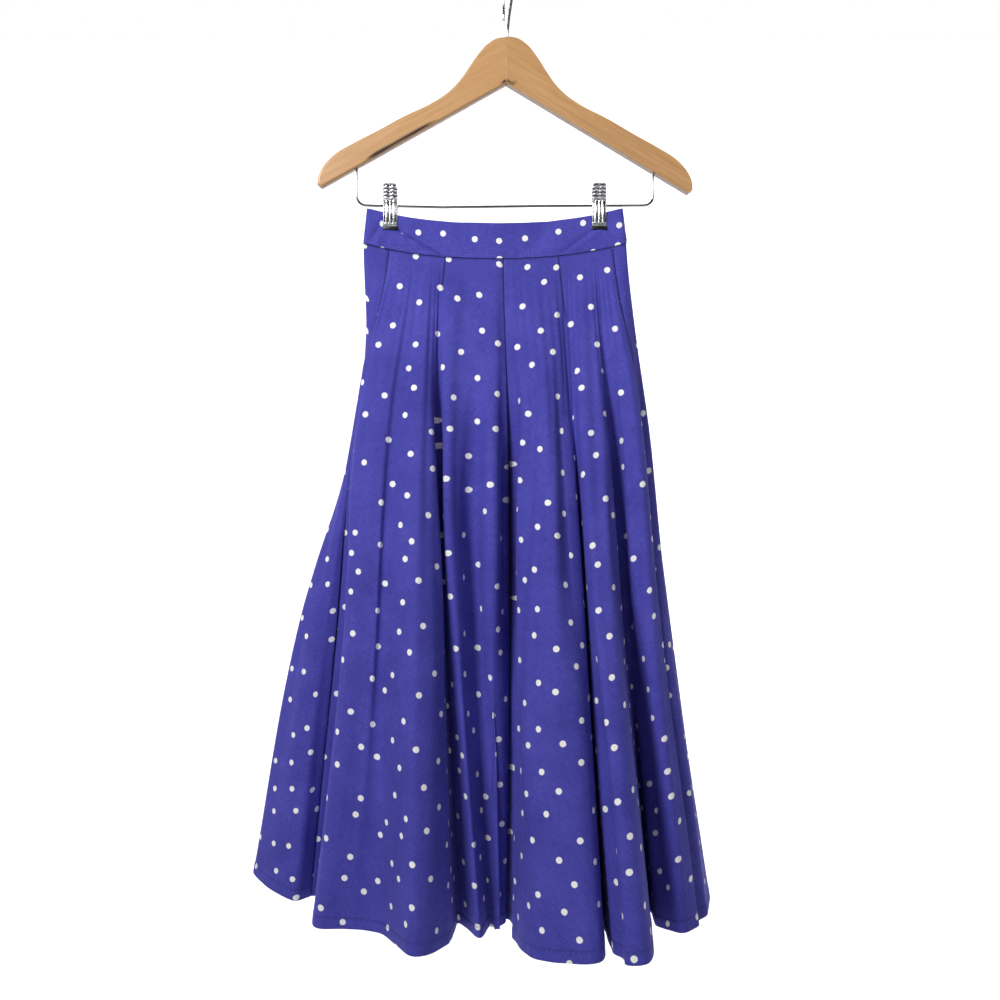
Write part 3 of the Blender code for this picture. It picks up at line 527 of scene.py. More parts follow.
def make_cotton(name, base, shade, light, dot, dot_strength):
    """Woven cotton with scattered dots, on the cut piece's own map."""
    material, tree, shader = new_material(name, 0.82)
    cut = add_node(tree, "ShaderNodeUVMap", uv_map="cut")
    spots = add_node(tree, "ShaderNodeTexVoronoi", [("Vector", cut.outputs["UV"]),
                     ("Scale", 1 / DOT_PITCH), ("Randomness", 0.5)], voronoi_dimensions="2D")
    ragged = add_node(tree, "ShaderNodeTexNoise", [("Vector", cut.outputs["UV"]), ("Scale", 900.0),
                      ("Detail", 2.0)], noise_dimensions="2D")
    edge = add_node(tree, "ShaderNodeMath", [(0, ragged.outputs["Fac"]), (1, 0.030),
                    (2, -0.015)], operation="MULTIPLY_ADD")
    distance = add_node(tree, "ShaderNodeMath", [(0, spots.outputs["Distance"]),
                        (1, edge.outputs[0])], operation="ADD")
    inside = add_node(tree, "ShaderNodeMapRange", [("Value", distance.outputs[0]),
                      ("From Min", (DOT_RADIUS + 0.0003) / DOT_PITCH),
                      ("From Max", (DOT_RADIUS - 0.0003) / DOT_PITCH)], interpolation_type="SMOOTHSTEP")
    threads = []
    for across, along in ((1 / THREAD, 1 / 0.014), (1 / 0.011, 1 / THREAD)):
        stretch = add_node(tree, "ShaderNodeMapping", [("Vector", cut.outputs["UV"]),
                           ("Scale", (across, along, 1.0))])
        threads.append(add_node(tree, "ShaderNodeTexNoise", [("Vector", stretch.outputs["Vector"]),
                       ("Scale", 1.0), ("Detail", 3.0), ("Roughness", 0.6)], noise_dimensions="2D"))
    weave = add_node(tree, "ShaderNodeMath", [(0, threads[0].outputs["Fac"]),
                     (1, threads[1].outputs["Fac"])], operation="ADD")
    clouds = add_node(tree, "ShaderNodeTexNoise", [("Vector", cut.outputs["UV"]), ("Scale", 14.0),
                      ("Detail", 4.0), ("Roughness", 0.55)], noise_dimensions="2D")
    blend = add_node(tree, "ShaderNodeMath", [(0, weave.outputs[0]), (1, 0.65), (2, -0.47)],
                     operation="MULTIPLY_ADD")
    worn = add_node(tree, "ShaderNodeMath", [(0, clouds.outputs["Fac"]), (1, 0.6),
                    (2, blend.outputs[0])], operation="MULTIPLY_ADD")
    ramp = add_node(tree, "ShaderNodeValToRGB", [("Fac", worn.outputs[0])])
    ramp.color_ramp.elements[0].position = 0.15
    ramp.color_ramp.elements[0].color = linear(shade)
    ramp.color_ramp.elements[1].position = 0.9
    ramp.color_ramp.elements[1].color = linear(light)
    middle = ramp.color_ramp.elements.new(0.5)
    middle.color = linear(base)
    strength = add_node(tree, "ShaderNodeMath", [(0, inside.outputs["Result"]), (1, dot_strength)],
                        operation="MULTIPLY")
    colour = add_node(tree, "ShaderNodeMix", [("Factor", strength.outputs[0]), (6, ramp.outputs["Color"]),
                      (7, linear(dot))], data_type="RGBA")
    # Painted shade: the darkening share stored on the cloth pulls its colour towards deep blue in the
    # seams, darts, hem line and waist row.
    groove_shade = add_node(tree, "ShaderNodeAttribute", attribute_name="groove_shade")
    deep = add_node(tree, "ShaderNodeMath", [(0, groove_shade.outputs["Fac"]), (1, 0.85)], operation="MULTIPLY")
    seam_shaded_colour = add_node(tree, "ShaderNodeMix", [("Factor", deep.outputs[0]), (6, colour.outputs[2]),
                      (7, linear("#14143E"))], data_type="RGBA")
    tree.links.new(seam_shaded_colour.outputs[2], shader.inputs["Base Color"])
    height = add_node(tree, "ShaderNodeBump", [("Height", weave.outputs[0]), ("Strength", 0.35),
                      ("Distance", 0.00035)])
    tree.links.new(height.outputs["Normal"], shader.inputs["Normal"])
    shader.inputs["Sheen Weight"].default_value = 0.18
    shader.inputs["Sheen Roughness"].default_value = 0.45
    shader.inputs["Sheen Tint"].default_value = linear("#9A9CE6")
    shader.inputs["Specular IOR Level"].default_value = 0.25
    return material


cotton_out = make_cotton("dyed cotton, right side", "#4745A6", "#3A3890", "#5957BA", "#F4F3F0", 1.0)
cotton_in = make_cotton("dyed cotton, wrong side", "#45459E", "#3A3A8E", "#5051A8", "#B9B9D8", 0.55)
pocketing = make_cotton("pocket cotton", "#4A4AA0", "#404092", "#5353AA", "#4A4AA0", 0.0)
thread_colour, _, _ = new_material("polyester thread", 0.55, colour="#5557B4")

# %% [markdown]
# ## Panels
# A panel is a grid laid over the cloth's form: columns run down the folds and rows round the skirt.
# A grid is the plainest start for cloth, because its columns can crowd where a fold is tight.  Its
# points are moved onto the form, each is pushed out by the creases' relief, and Solidify gives the
# sheet its thickness.

# %% Build the panels
PANEL_COLUMNS = 200
SEAM_COLUMNS = np.array([0, 0.003, 0.006, 0.010, 0.016, 0.024, 0.035])   # closer beside a seam
PANEL_ROWS = 150
CLOTH_THICKNESS = 0.0009


def make_sheet(name, points, flat, thickness, materials, groove_shades=None):
    """A grid of cloth with a map of its flat cut, given its thickness."""
    rows, columns = points.shape[:2]
    work = bmesh.new()
    bmesh.ops.create_grid(work, x_segments=columns - 1, y_segments=rows - 1, size=1)
    for vertex, point in zip(work.verts, points.reshape(-1, 3)):
        vertex.co = point
    cut = work.loops.layers.uv.new("cut")
    flat_list = flat.reshape(-1, 2)
    # The sheet carries its painted shade share, for seams and hollows, as a point attribute.
    groove_shade = work.verts.layers.float.new("groove_shade")
    if groove_shades is not None:
        for vertex, depth in zip(work.verts, groove_shades.reshape(-1)):
            vertex[groove_shade] = depth
    work.verts.index_update()
    for face in work.faces:
        for loop in face.loops:
            loop[cut].uv = flat_list[loop.vert.index]
    bmesh.ops.reverse_faces(work, faces=work.faces[:])
    mesh = bpy.data.meshes.new(name)
    work.to_mesh(mesh)
    work.free()
    mesh.shade_smooth()
    made = link_object(name, mesh, *materials)
    thick = made.modifiers.new("thickness", "SOLIDIFY")
    thick.thickness = thickness
    thick.offset = 0
    thick.use_even_offset = False
    thick.material_offset = 1 if len(materials) > 1 else 0
    thick.material_offset_rim = 0
    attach(made, MAIN_BODY)
    return made


def panel_span(first, last):
    """The walks of a panel's two seams; a panel past the last fold carries on round."""
    start, end = WALK[FOLD_NAMES.index(first)], WALK[FOLD_NAMES.index(last)]
    return (start, end) if end > start else (start, end + ROUND)


def panel_surface(first_walk, last_walk, walks, levels):
    """Points of a panel with its relief, and its flat cut in metres."""
    points, normals = cloth_grid(walks, levels)
    flat = np.zeros(points.shape[:2] + (2,))
    groove_shades = np.zeros(points.shape[:2])
    for row, level in enumerate(levels):
        height, groove_shades[row] = relief(walks, level, first_walk, last_walk)
        points[row] += normals[row] * height[:, None]
        radius = WAIST_RADIUS + level * CLOTH_LENGTH
        angle = metres_along(walks, level, (first_walk + last_walk) / 2) / radius
        flat[row, :, 0] = radius * np.sin(angle)
        flat[row, :, 1] = -radius * np.cos(angle)
    return points, flat, groove_shades


PANELS = (
    # name                  from          to            the dots' shift, and the grain's turn in degrees
    ("front_panel_left",    "seam_left",  "seam_front", (0.013, 0.004), 38),
    ("front_panel_right",   "seam_front", "seam_right", (2.017, 0.021), -38),
    ("back_panel_right",    "seam_right", "seam_back",  (4.009, 0.013), 38),
    ("back_panel_left",     "seam_back",  "seam_left",  (6.022, 0.027), -38),
)
levels = np.concatenate((np.linspace(0, 0.03, 8, endpoint=False),
                         np.linspace(0.03, 0.965, PANEL_ROWS - 28, endpoint=False),
                         np.linspace(0.965, 1.0, 20)))
for name, first, last, shift, turned in PANELS:
    first_walk, last_walk = panel_span(first, last)
    walks = np.concatenate((first_walk + SEAM_COLUMNS,
                            np.linspace(first_walk + 0.05, last_walk - 0.05, PANEL_COLUMNS),
                            last_walk - SEAM_COLUMNS[::-1]))
    points, flat, groove_shades = panel_surface(first_walk, last_walk, walks, levels)
    for edge, inner in ((0, 1), (-1, -2)):
        inward = points[:, inner] - points[:, edge]
        points[:, edge] += inward / np.linalg.norm(inward, axis=1)[:, None] * SEAM_GAP / 2
    points[0, :, 2] -= SEAM_GAP
    cosine, sine = math.cos(math.radians(turned)), math.sin(math.radians(turned))
    laid = flat @ np.array(((cosine, sine), (-sine, cosine))) + np.array(shift)
    panel = make_sheet(f"{name}_cloth", points, laid, CLOTH_THICKNESS,
                       (cotton_out, cotton_in), groove_shades)
    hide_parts(name)
    width = float(np.ptp(flat[..., 0]))
    length = float(np.ptp(flat[..., 1]))
    turn = float(metres_along(walks, 1.0, first_walk)[-1] / (WAIST_RADIUS + CLOTH_LENGTH))
    area = turn / 2 * ((WAIST_RADIUS + CLOTH_LENGTH)**2 - WAIST_RADIUS**2)
    area = min(area, width * length)
    print(f"{name}: cut {width:.3f} x {length:.3f} m, {area:.3f} square metres")

# %% [markdown]
# ## Waistband
# The band is one strip, folded along its top and stitched down along its foot, so its upper edge is
# rounded and its lower edge carries a line of small stitches.  The clips pull it up at two points,
# which leaves soft diagonal creases under them.

# %% Build the waistband
BACK_TURN = turn_at(0.0, back=True)
METRES_PER_TURN = WAIST_WIDTH / 2 * math.pi * math.sin(math.pi * (BACK_TURN % 1))
BAND_CREASES = (
    # x at the top  x at the foot   top    foot    width    depth; heights are shares of the band
    (-0.132,        -0.080,         0.58,  0.02,   0.0050,  0.0022),
    (-0.128,        -0.106,         0.55,  0.05,   0.0035,  0.0012),
    (-0.152,        -0.164,         0.70,  0.10,   0.0040,  0.0013),
    (0.100,         0.066,          0.55,  0.08,   0.0055,  0.0014),
    (0.118,         0.132,          0.60,  0.10,   0.0040,  0.0012),
    (-0.062,        -0.030,         0.95,  0.15,   0.0110,  0.0014),
    (0.050,         0.028,          0.98,  0.20,   0.0120,  0.0013),
)


def band_row(turns, height, offset):
    """A row of band points, moved outwards by an offset that may change along the row."""
    nudge = 1e-4
    along = waist_point((turns + nudge) % 2) - waist_point((turns - nudge) % 2)
    outward = np.stack((along[:, 1], -along[:, 0], np.zeros(len(turns))), axis=1)
    outward /= np.linalg.norm(outward, axis=1)[:, None]
    return waist_point(turns % 2, height) + outward * np.reshape(offset, (-1, 1))


def overlap_rise(turns):
    """How far the band's last stretch stands out, to lap over its start."""
    share = np.clip(1 - (BACK_TURN + 2 - turns) * METRES_PER_TURN / OVERLAP_RISE, 0, 1)
    return (BAND_WALL + 2 * SEAM_GAP) * share**2 * (3 - 2 * share)


def band_relief(turns, share):
    """Creases, puckers and the stitch line on the band's outer face."""
    x = WAIST_CENTRE_X - np.cos(np.pi * turns) * WAIST_WIDTH / 2
    height = 0.00018 * np.sin(x * 310 + 2 * np.sin(x * 90)) * bump(share, 0.28)
    height += 0.00012 * np.sin(x * 210 + 1) * bump(share - 1, 0.3)
    height -= 0.00035 * bump(share - 0.055, 0.035)
    front = (turns % 2) < 1
    for top_x, foot_x, top, foot, width, depth in BAND_CREASES:
        along = np.clip((top - share) / (top - foot), 0, 1)
        strength = fade_in(top - share, -0.15, 0.1) * fade_in(share, foot - 0.12, foot + 0.05)
        centre = top_x + (foot_x - top_x) * along
        trough = bump(x - centre, width)
        ridge = bump(x - centre - 2 * width, width * 1.2)
        height += np.where(front, 1, 0.5) * depth * strength * (0.5 * ridge - trough)
    return height


turns = np.concatenate((np.linspace(BACK_TURN, BACK_TURN + 2, 560),
                        BACK_TURN + 2 + np.linspace(0, 1, 12)[1:] * OVERLAP / METRES_PER_TURN))
shares = np.linspace(0, 1, 26)
band_points = np.array([band_row(turns, SEAM_GAP / 2 + share * (BAND_HEIGHT - 0.0006),
                                 overlap_rise(turns) + band_relief(turns, share)) for share in shares])
band_along = np.concatenate(([0.0], np.cumsum(np.linalg.norm(np.diff(band_points[0], axis=0), axis=1))))
band_flat = np.stack(np.broadcast_arrays(band_along[None, :] + 9.004,
                                         shares[:, None] * BAND_HEIGHT + 0.0155), axis=2)
band = make_sheet("waistband_cloth", band_points[::-1], band_flat[::-1], BAND_WALL - 0.0002,
                  (cotton_out, cotton_in))
soft_edge = band.modifiers.new("soft edges", "BEVEL")
soft_edge.width = 0.0008
soft_edge.segments = 3
soft_edge.limit_method = "ANGLE"
soft_edge.angle_limit = math.radians(50)
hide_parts("waistband")
print(f"waistband: {band_along[-1]:.3f} m long, {BAND_HEIGHT * 1000:.0f} mm deep")

# %% [markdown]
# ## Stitching
# Where two pieces meet, small stitches show on the right side: along the foot of the band and the top
# of the hem, and as a bar tack at each end of a pocket's mouth.  Each stitch is one short flat thread,
# sunk a little into the cloth, so the stitches of one line are made together as one object.

# %% Stitch helpers
STITCH_LENGTH = 0.0021
STITCH_GAP = 0.0011
THREAD_WIDTH = 0.0004


def stitch_line(work, points, normals, length=STITCH_LENGTH, gap=STITCH_GAP, width=THREAD_WIDTH):
    """Add a row of small flat threads along a row of points."""
    reach = np.concatenate(([0.0], np.cumsum(np.linalg.norm(np.diff(points, axis=0), axis=1))))
    places = np.arange(gap, reach[-1] - length, length + gap)
    for place in places:
        ends = [np.array([np.interp(at, reach, points[:, axis]) for axis in range(3)])
                for at in (place, place + length)]
        outward = Vector([np.interp(place, reach, normals[:, axis]) for axis in range(3)]).normalized()
        along = Vector(ends[1] - ends[0]).normalized()
        sideways = outward.cross(along).normalized()
        turn = Matrix((along, sideways, along.cross(sideways))).transposed().to_4x4()
        size = Matrix.Diagonal((length, width, width * 0.7, 1))
        middle = Matrix.Translation(Vector((ends[0] + ends[1]) / 2) + outward * width * 0.25)
        bmesh.ops.create_cube(work, size=1, matrix=middle @ turn @ size)


def mesh_object(name, work, slot_name, *materials, body=MAIN_BODY, smooth=True):
    """Finish a bmesh as an object of the part."""
    mesh = bpy.data.meshes.new(name)
    work.to_mesh(mesh)
    work.free()
    if smooth:
        mesh.shade_smooth()
    made = link_object(name, mesh, *materials)
    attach(made, body)
    return made


def on_cloth(walks, level_row, stand=CLOTH_THICKNESS / 2):
    """Points just on the cloth's outer face, one for each pair of walk and level."""
    points, normals = [], []
    for walk, level in zip(walks, level_row):
        point, normal = cloth_grid(np.array([walk]), [level])
        points.append(point[0, 0] + normal[0, 0] * stand)
        normals.append(normal[0, 0])
    return np.array(points), np.array(normals)


# %% [markdown]
# ## Rows of stitches
# A machine stitch is a short raised thread with a small gap after it.  Each is a small block laid on the
# cloth where the relief has put its surface, so that none floats or sinks in.

# %% Stitches on the band and hem
work = bmesh.new()
stitch_turns = np.linspace(BACK_TURN + 0.02, BACK_TURN + 1.98, 420)
for share in (0.085,):
    offset = BAND_WALL / 2 - 0.0001 + band_relief(stitch_turns, share)
    row = band_row(stitch_turns, share * BAND_HEIGHT, offset)
    outward = row - band_row(stitch_turns, share * BAND_HEIGHT, offset - 0.001)
    stitch_line(work, row, outward)
band_stitches = mesh_object("waistband_stitches", work, "dotted_cotton", thread_colour, smooth=False)

work = bmesh.new()
hem_level = 1 - HEM_DEPTH * 0.93 / CLOTH_LENGTH
for name, first, last, shift, turned in PANELS:
    first_walk, last_walk = panel_span(first, last)
    walks = np.linspace(first_walk + 0.004, last_walk - 0.004, 260)
    points, normals = cloth_grid(walks, [hem_level])
    lift = relief(walks, hem_level, first_walk, last_walk)[0] + CLOTH_THICKNESS / 2
    stitch_line(work, points[0] + normals[0] * lift[:, None], normals[0], length=0.0016, gap=0.0045)
hem_stitches = mesh_object("hem_stitches", work, "dotted_cotton", thread_colour, smooth=False)
for stitches in (band_stitches, hem_stitches):
    print(stitches.name, len(stitches.data.polygons) // 6)

# %% [markdown]
# ## Pockets
# A side-seam pocket is a gap left in the seam, closed at both ends by a bar tack, with a bag of thin
# cloth inside.  The bag hangs behind the front panel, so only the mouth's folded edge shows: a narrow
# rolled welt with a row of stitches beside it.

# %% Build the pockets
POCKETS = (
    # name                seam          into   top    foot   width  stand
    ("pocket_bag_left",   "seam_left",  1,     0.10,  0.33,  0.105, 0.0014),
    ("pocket_bag_right",  "seam_right", -1,    0.10,  0.33,  0.105, 0.0003),
)
POCKET_WALL = 0.0010
BAG_OPEN = 0.0026
BAG_ROUNDING = 0.75
BAG_MOUTH = 0.75
layers = np.sin(np.linspace(-1, 1, 61) * math.pi / 2)
for name, seam, into, top, foot, bag_width, stand in POCKETS:
    mouth_walk = np.array([WALK[FOLD_NAMES.index(seam)]])
    rows = []
    for level in np.linspace(top, foot, 60):
        point, normal = cloth_grid(mouth_walk, [level])
        mouth = point[0, 0] - normal[0, 0] * (PANEL_WALL / 2 + 2 * SEAM_GAP + POCKET_WALL / 2)
        share = (level - top) / (foot - top)
        belly = math.sin(math.pi * min(share * 1.2, 1))
        reach = bag_width * (1 - BAG_ROUNDING * share**3) * (BAG_MOUTH + (1 - BAG_MOUTH) * belly)
        inward = 1 - np.abs(layers)
        spread = np.sqrt(1 - inward**6) * np.sign(layers) * BAG_OPEN / 2
        middle_y = (mouth[1] + BAG_OPEN / 2) * (1 - np.clip(inward * 3.2, 0, 1))**2
        x = mouth[0] + into * (stand + inward * reach)
        wave = 0.0004 * np.sin(inward * 21 + level * 60) * np.sin(share * 9)
        rows.append(np.stack((x, middle_y + spread + wave, np.full(len(x), mouth[2])), axis=1))
    bag_points = np.array(rows)
    bag_flat = np.stack(np.broadcast_arrays(np.linspace(0, 2 * bag_width, 61)[None, :],
                        np.linspace(0, (foot - top) * CLOTH_LENGTH, 60)[:, None]), axis=2)
    bag = make_sheet(f"{name}_cloth", bag_points, bag_flat, POCKET_WALL * 0.7, (pocketing,))
    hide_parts(name)
    work = bmesh.new()
    side = 1 if into > 0 else -1
    edge_levels = np.linspace(top + 0.012, foot - 0.07, 70)
    edge_walk = np.full(len(edge_levels), mouth_walk[0] + side * 0.0035)
    points, normals = on_cloth(edge_walk, edge_levels)
    stitch_line(work, points, normals, length=0.0022, gap=0.0012)
    for tack_level in (top + 0.005, foot - 0.065):
        for step in range(7):
            level_here = tack_level + step * 0.0005
            walks_here = mouth_walk[0] + side * np.linspace(0.001, 0.007, 5)
            points, normals = on_cloth(walks_here, np.full(5, level_here))
            stitch_line(work, points, normals, length=0.0060, gap=0.0001, width=0.00045)
    mesh_object(f"{name}_stitches", work, "dotted_cotton", thread_colour, smooth=False)
print("two pocket bags, each folded from one piece")

# %% [markdown]
# ## Zip and button at the back
# A skirt with a flat fitted band needs an opening.  It is a zip in the centre back seam, under a
# button where the band laps over itself.  The zip's teeth are a coil of thread sewn on woven tape, its
# slider is cast metal, and its pull swings on a cross pin.

# %% Metal, tape and resin
def add_bump(tree, shader, height, distance, strength=0.5):
    """Send a height into the shader's normal."""
    relief_node = add_node(tree, "ShaderNodeBump", [("Height", height), ("Distance", distance),
                           ("Strength", strength)])
    tree.links.new(relief_node.outputs["Normal"], shader.inputs["Normal"])


def make_metal(name, colour, roughness, hollows_shaded=False):
    """Plated metal, a little cloudy from handling, with painted shade darkening its hollows if it has them.
    """
    material, tree, shader = new_material(name, roughness, 1.0, colour)
    place = add_node(tree, "ShaderNodeTexCoord")
    smears = add_node(tree, "ShaderNodeTexNoise", [("Vector", place.outputs["Object"]), ("Scale", 420.0),
                      ("Detail", 3.0)])
    cloudy = add_node(tree, "ShaderNodeMapRange", [("Value", smears.outputs["Fac"]), ("From Min", 0.35),
                      ("From Max", 0.7), ("To Min", roughness * 0.7), ("To Max", roughness * 1.6)])
    tree.links.new(cloudy.outputs["Result"], shader.inputs["Roughness"])
    if hollows_shaded:
        # Painted shade: the plate's darkening share pulls its colour towards near black in the troughs.
        groove_shade = add_node(tree, "ShaderNodeAttribute", attribute_name="groove_shade")
        hollow_shade_colour = add_node(tree, "ShaderNodeMix", [("Factor", groove_shade.outputs["Fac"]), (6, linear(colour)),
                         (7, linear("#1C1C1E"))], data_type="RGBA")
        tree.links.new(hollow_shade_colour.outputs[2], shader.inputs["Base Color"])
    return material


chrome = make_metal("polished chrome plate", "#C4C6CA", 0.09)
plate_chrome = make_metal("pressed chromed plate", "#E6E7EA", 0.26, hollows_shaded=True)
wire_chrome = make_metal("chromed drawn wire", "#9A9CA0", 0.16)
zip_brass = make_metal("enamelled zip metal", "#8E90B4", 0.28)
tape_cloth, tree, shader = new_material("woven zip tape", 0.85, colour="#3E3F92")
place = add_node(tree, "ShaderNodeTexCoord")
ribs = add_node(tree, "ShaderNodeTexWave", [("Vector", place.outputs["Object"]), ("Scale", 260.0),
                ("Distortion", 0.6)], bands_direction="Z")
add_bump(tree, shader, ribs.outputs["Fac"], 0.0002)
coil_plastic, _, _ = new_material("nylon zip coil", 0.4, colour="#4749A0")
resin, tree, shader = new_material("polyester button resin", 0.3, colour="#4A4BA6")
place = add_node(tree, "ShaderNodeTexCoord")
pearl = add_node(tree, "ShaderNodeTexNoise", [("Vector", place.outputs["Object"]), ("Scale", 260.0),
                 ("Distortion", 1.5)])
swirl = add_node(tree, "ShaderNodeValToRGB", [("Fac", pearl.outputs["Fac"])])
swirl.color_ramp.elements[0].color = linear("#3F4096")
swirl.color_ramp.elements[1].color = linear("#6365BE")
tree.links.new(swirl.outputs["Color"], shader.inputs["Base Color"])
shader.inputs["Coat Weight"].default_value = 0.4

# %% [markdown]
# ## Tape and coil
# The tape is woven strip sewn behind the seam, and a coil of thread on it does the closing.  The zip is
# concealed, so it lies inside the cloth and only the slider and its pull show.

# %% Zip tape and coil
ZIP_DEPTH = 0.20
TAPE_WALL = 0.0010
seam = FOLD_NAMES.index("seam_back")
tape_reach = np.linspace(-0.42, 0.42, 23)
tape_walks = WALK[seam] + np.where(tape_reach < 0, tape_reach * (WALK[seam] - WALK[seam - 1]),
                                   tape_reach * (WALK[seam + 1] - WALK[seam]))
tape_levels = np.linspace(0.004, ZIP_DEPTH, 60)
points, normals = cloth_grid(tape_walks, tape_levels)
points -= normals * (PANEL_WALL / 2 + 1.5 * SEAM_GAP + TAPE_WALL / 2)
tape_flat = np.stack(np.broadcast_arrays(np.linspace(0, 0.02, 23)[None, :],
                     np.linspace(0, ZIP_DEPTH * CLOTH_LENGTH, 60)[:, None]), axis=2)
tape = make_sheet("zip_tape_cloth", points, tape_flat, TAPE_WALL * 0.8, (tape_cloth,))
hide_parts("zip_tape")

work = bmesh.new()
coil_levels = np.arange(0.026, ZIP_DEPTH - 0.004, 0.0016)
points, normals = on_cloth(np.full(len(coil_levels), WALK[seam]), coil_levels, stand=CLOTH_THICKNESS / 2)
for number, (point, normal) in enumerate(zip(points, normals)):
    side = 0.0004 if number % 2 else -0.0004
    size = Matrix.Diagonal((0.0018, 0.0006, 0.0006, 1))
    lie = Vector(normal).to_track_quat("Y", "Z").to_matrix().to_4x4()
    spot = Vector(point) + Vector((side, 0, 0)) - Vector(normal) * 0.0006
    bmesh.ops.create_uvsphere(work, u_segments=8, v_segments=5, radius=0.5,
                              matrix=Matrix.Translation(spot) @ lie @ size)
mesh_object("zip_coil", work, "zip_tape", coil_plastic)
print("zip coil of", len(coil_levels), "teeth")

# %% [markdown]
# ## Button
# A four-hole resin button is turned from a blank, dished in the middle, and sewn on with a cross.

# %% Button with its thread
BUTTON_THICKNESS = 0.0028
turn = np.array([BACK_TURN + 2 + 0.5 * OVERLAP / METRES_PER_TURN])
stand = overlap_rise(turn)[0] + BAND_WALL / 2 + SEAM_GAP + BUTTON_THICKNESS / 2
centre = Vector(band_row(turn, BAND_HEIGHT / 2, stand)[0])
outward = (centre - Vector(band_row(turn, BAND_HEIGHT / 2, 0.0)[0])).normalized()
button_frame = Matrix.Translation(centre) @ outward.to_track_quat("Z", "Y").to_matrix().to_4x4()
BUTTON_PROFILE = (
    # radius and height, in millimetres, from the middle of its face round to the back's middle
    (0.0, 0.55), (4.6, 0.55), (5.4, 0.70), (6.2, 1.30), (6.9, 1.40), (7.6, 1.20),
    (8.0, 0.45), (8.0, -0.50), (7.4, -1.20), (6.4, -1.40), (0.0, -1.40),
)
work = bmesh.new()
profile = [work.verts.new((radius / 1000, 0, height / 1000)) for radius, height in BUTTON_PROFILE]
edges = [work.edges.new(pair) for pair in zip(profile, profile[1:])]
bmesh.ops.spin(work, geom=profile + edges, cent=(0, 0, 0), axis=(0, 0, 1), angle=math.tau, steps=48,
               use_merge=True)
bmesh.ops.remove_doubles(work, verts=work.verts[:], dist=1e-5)
bmesh.ops.recalc_face_normals(work, faces=work.faces[:])
bmesh.ops.transform(work, matrix=button_frame, verts=work.verts[:])
button = mesh_object("waist_button_disc", work, "button_resin", resin)
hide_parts("waist_button")

# The four openings are not cut through: a dark disc at each is painted shadow where the opening's depth
# would be.
work = bmesh.new()
for hole_x, hole_y in ((-1, -1), (1, -1), (1, 1), (-1, 1)):
    spot = Matrix.Translation((hole_x * 0.0013, hole_y * 0.0013, 0.00056))
    bmesh.ops.create_cone(work, cap_ends=True, segments=16, radius1=0.00075, radius2=0.00075, depth=0.0002,
                          matrix=button_frame @ spot)
hole_shadow, _, _ = new_material("button hole shadow", 0.8, colour="#20204C")
mesh_object("button_hole_shadows", work, "button_resin", hole_shadow, smooth=False)
work = bmesh.new()
for slant in (45, -45):
    lie = Matrix.Rotation(math.radians(slant), 4, "Z") @ Matrix.Translation((0, 0, 0.00075))
    for step in (-0.0003, 0, 0.0003):
        size = Matrix.Translation((0, step, 0)) @ Matrix.Diagonal((0.0040, 0.0003, 0.0003, 1))
        bmesh.ops.create_cube(work, size=1, matrix=button_frame @ lie @ size)
mesh_object("button_thread", work, "button_resin", thread_colour, smooth=False)

# %% [markdown]
# ## Slider and pull
# Both are small castings with flat faces, which the frame's solids already show, so only a finish is
# added.

# %% Zip slider and pull keep their solids
for solid_name in ("zip_slider", "zip_pull"):
    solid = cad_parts[solid_name]
    solid.data.materials.clear()
    solid.data.materials.append(zip_brass)
    print(solid_name, "keeps its solid, in", zip_brass.name)

# %% [markdown]
# ## Wood
# Each arm is one bent-shaped board of beech, sanded, varnished and joined to the other in a mitre under
# the hook.  The grain runs along each arm; the two arms get slightly different colours, painted light for
# how light falls differently on the two halves, and faces that look down get a darker copy, painted shade
# on the undersides.  The lower edges are rubbed dark by years of hands, and one arm has a small knot.

# %% Arms
APEX_Z = -0.0713
ARM_THICKNESS = 0.012
HANGER_TILT = math.radians(0.9)
ARM_TOP = (
    # out and down from the middle of the top, in millimetres
    (0.03, 0), (12, 2), (24, 9.5), (36.5, 24.5), (47, 40.5), (57, 54.5), (70, 67.5), (87, 79),
    (121, 96), (153, 114), (181, 129), (200, 140.5), (213, 153), (221, 168), (222, 178),
)
ARM_BOTTOM = ((217, 181.5), (0.03, 55))


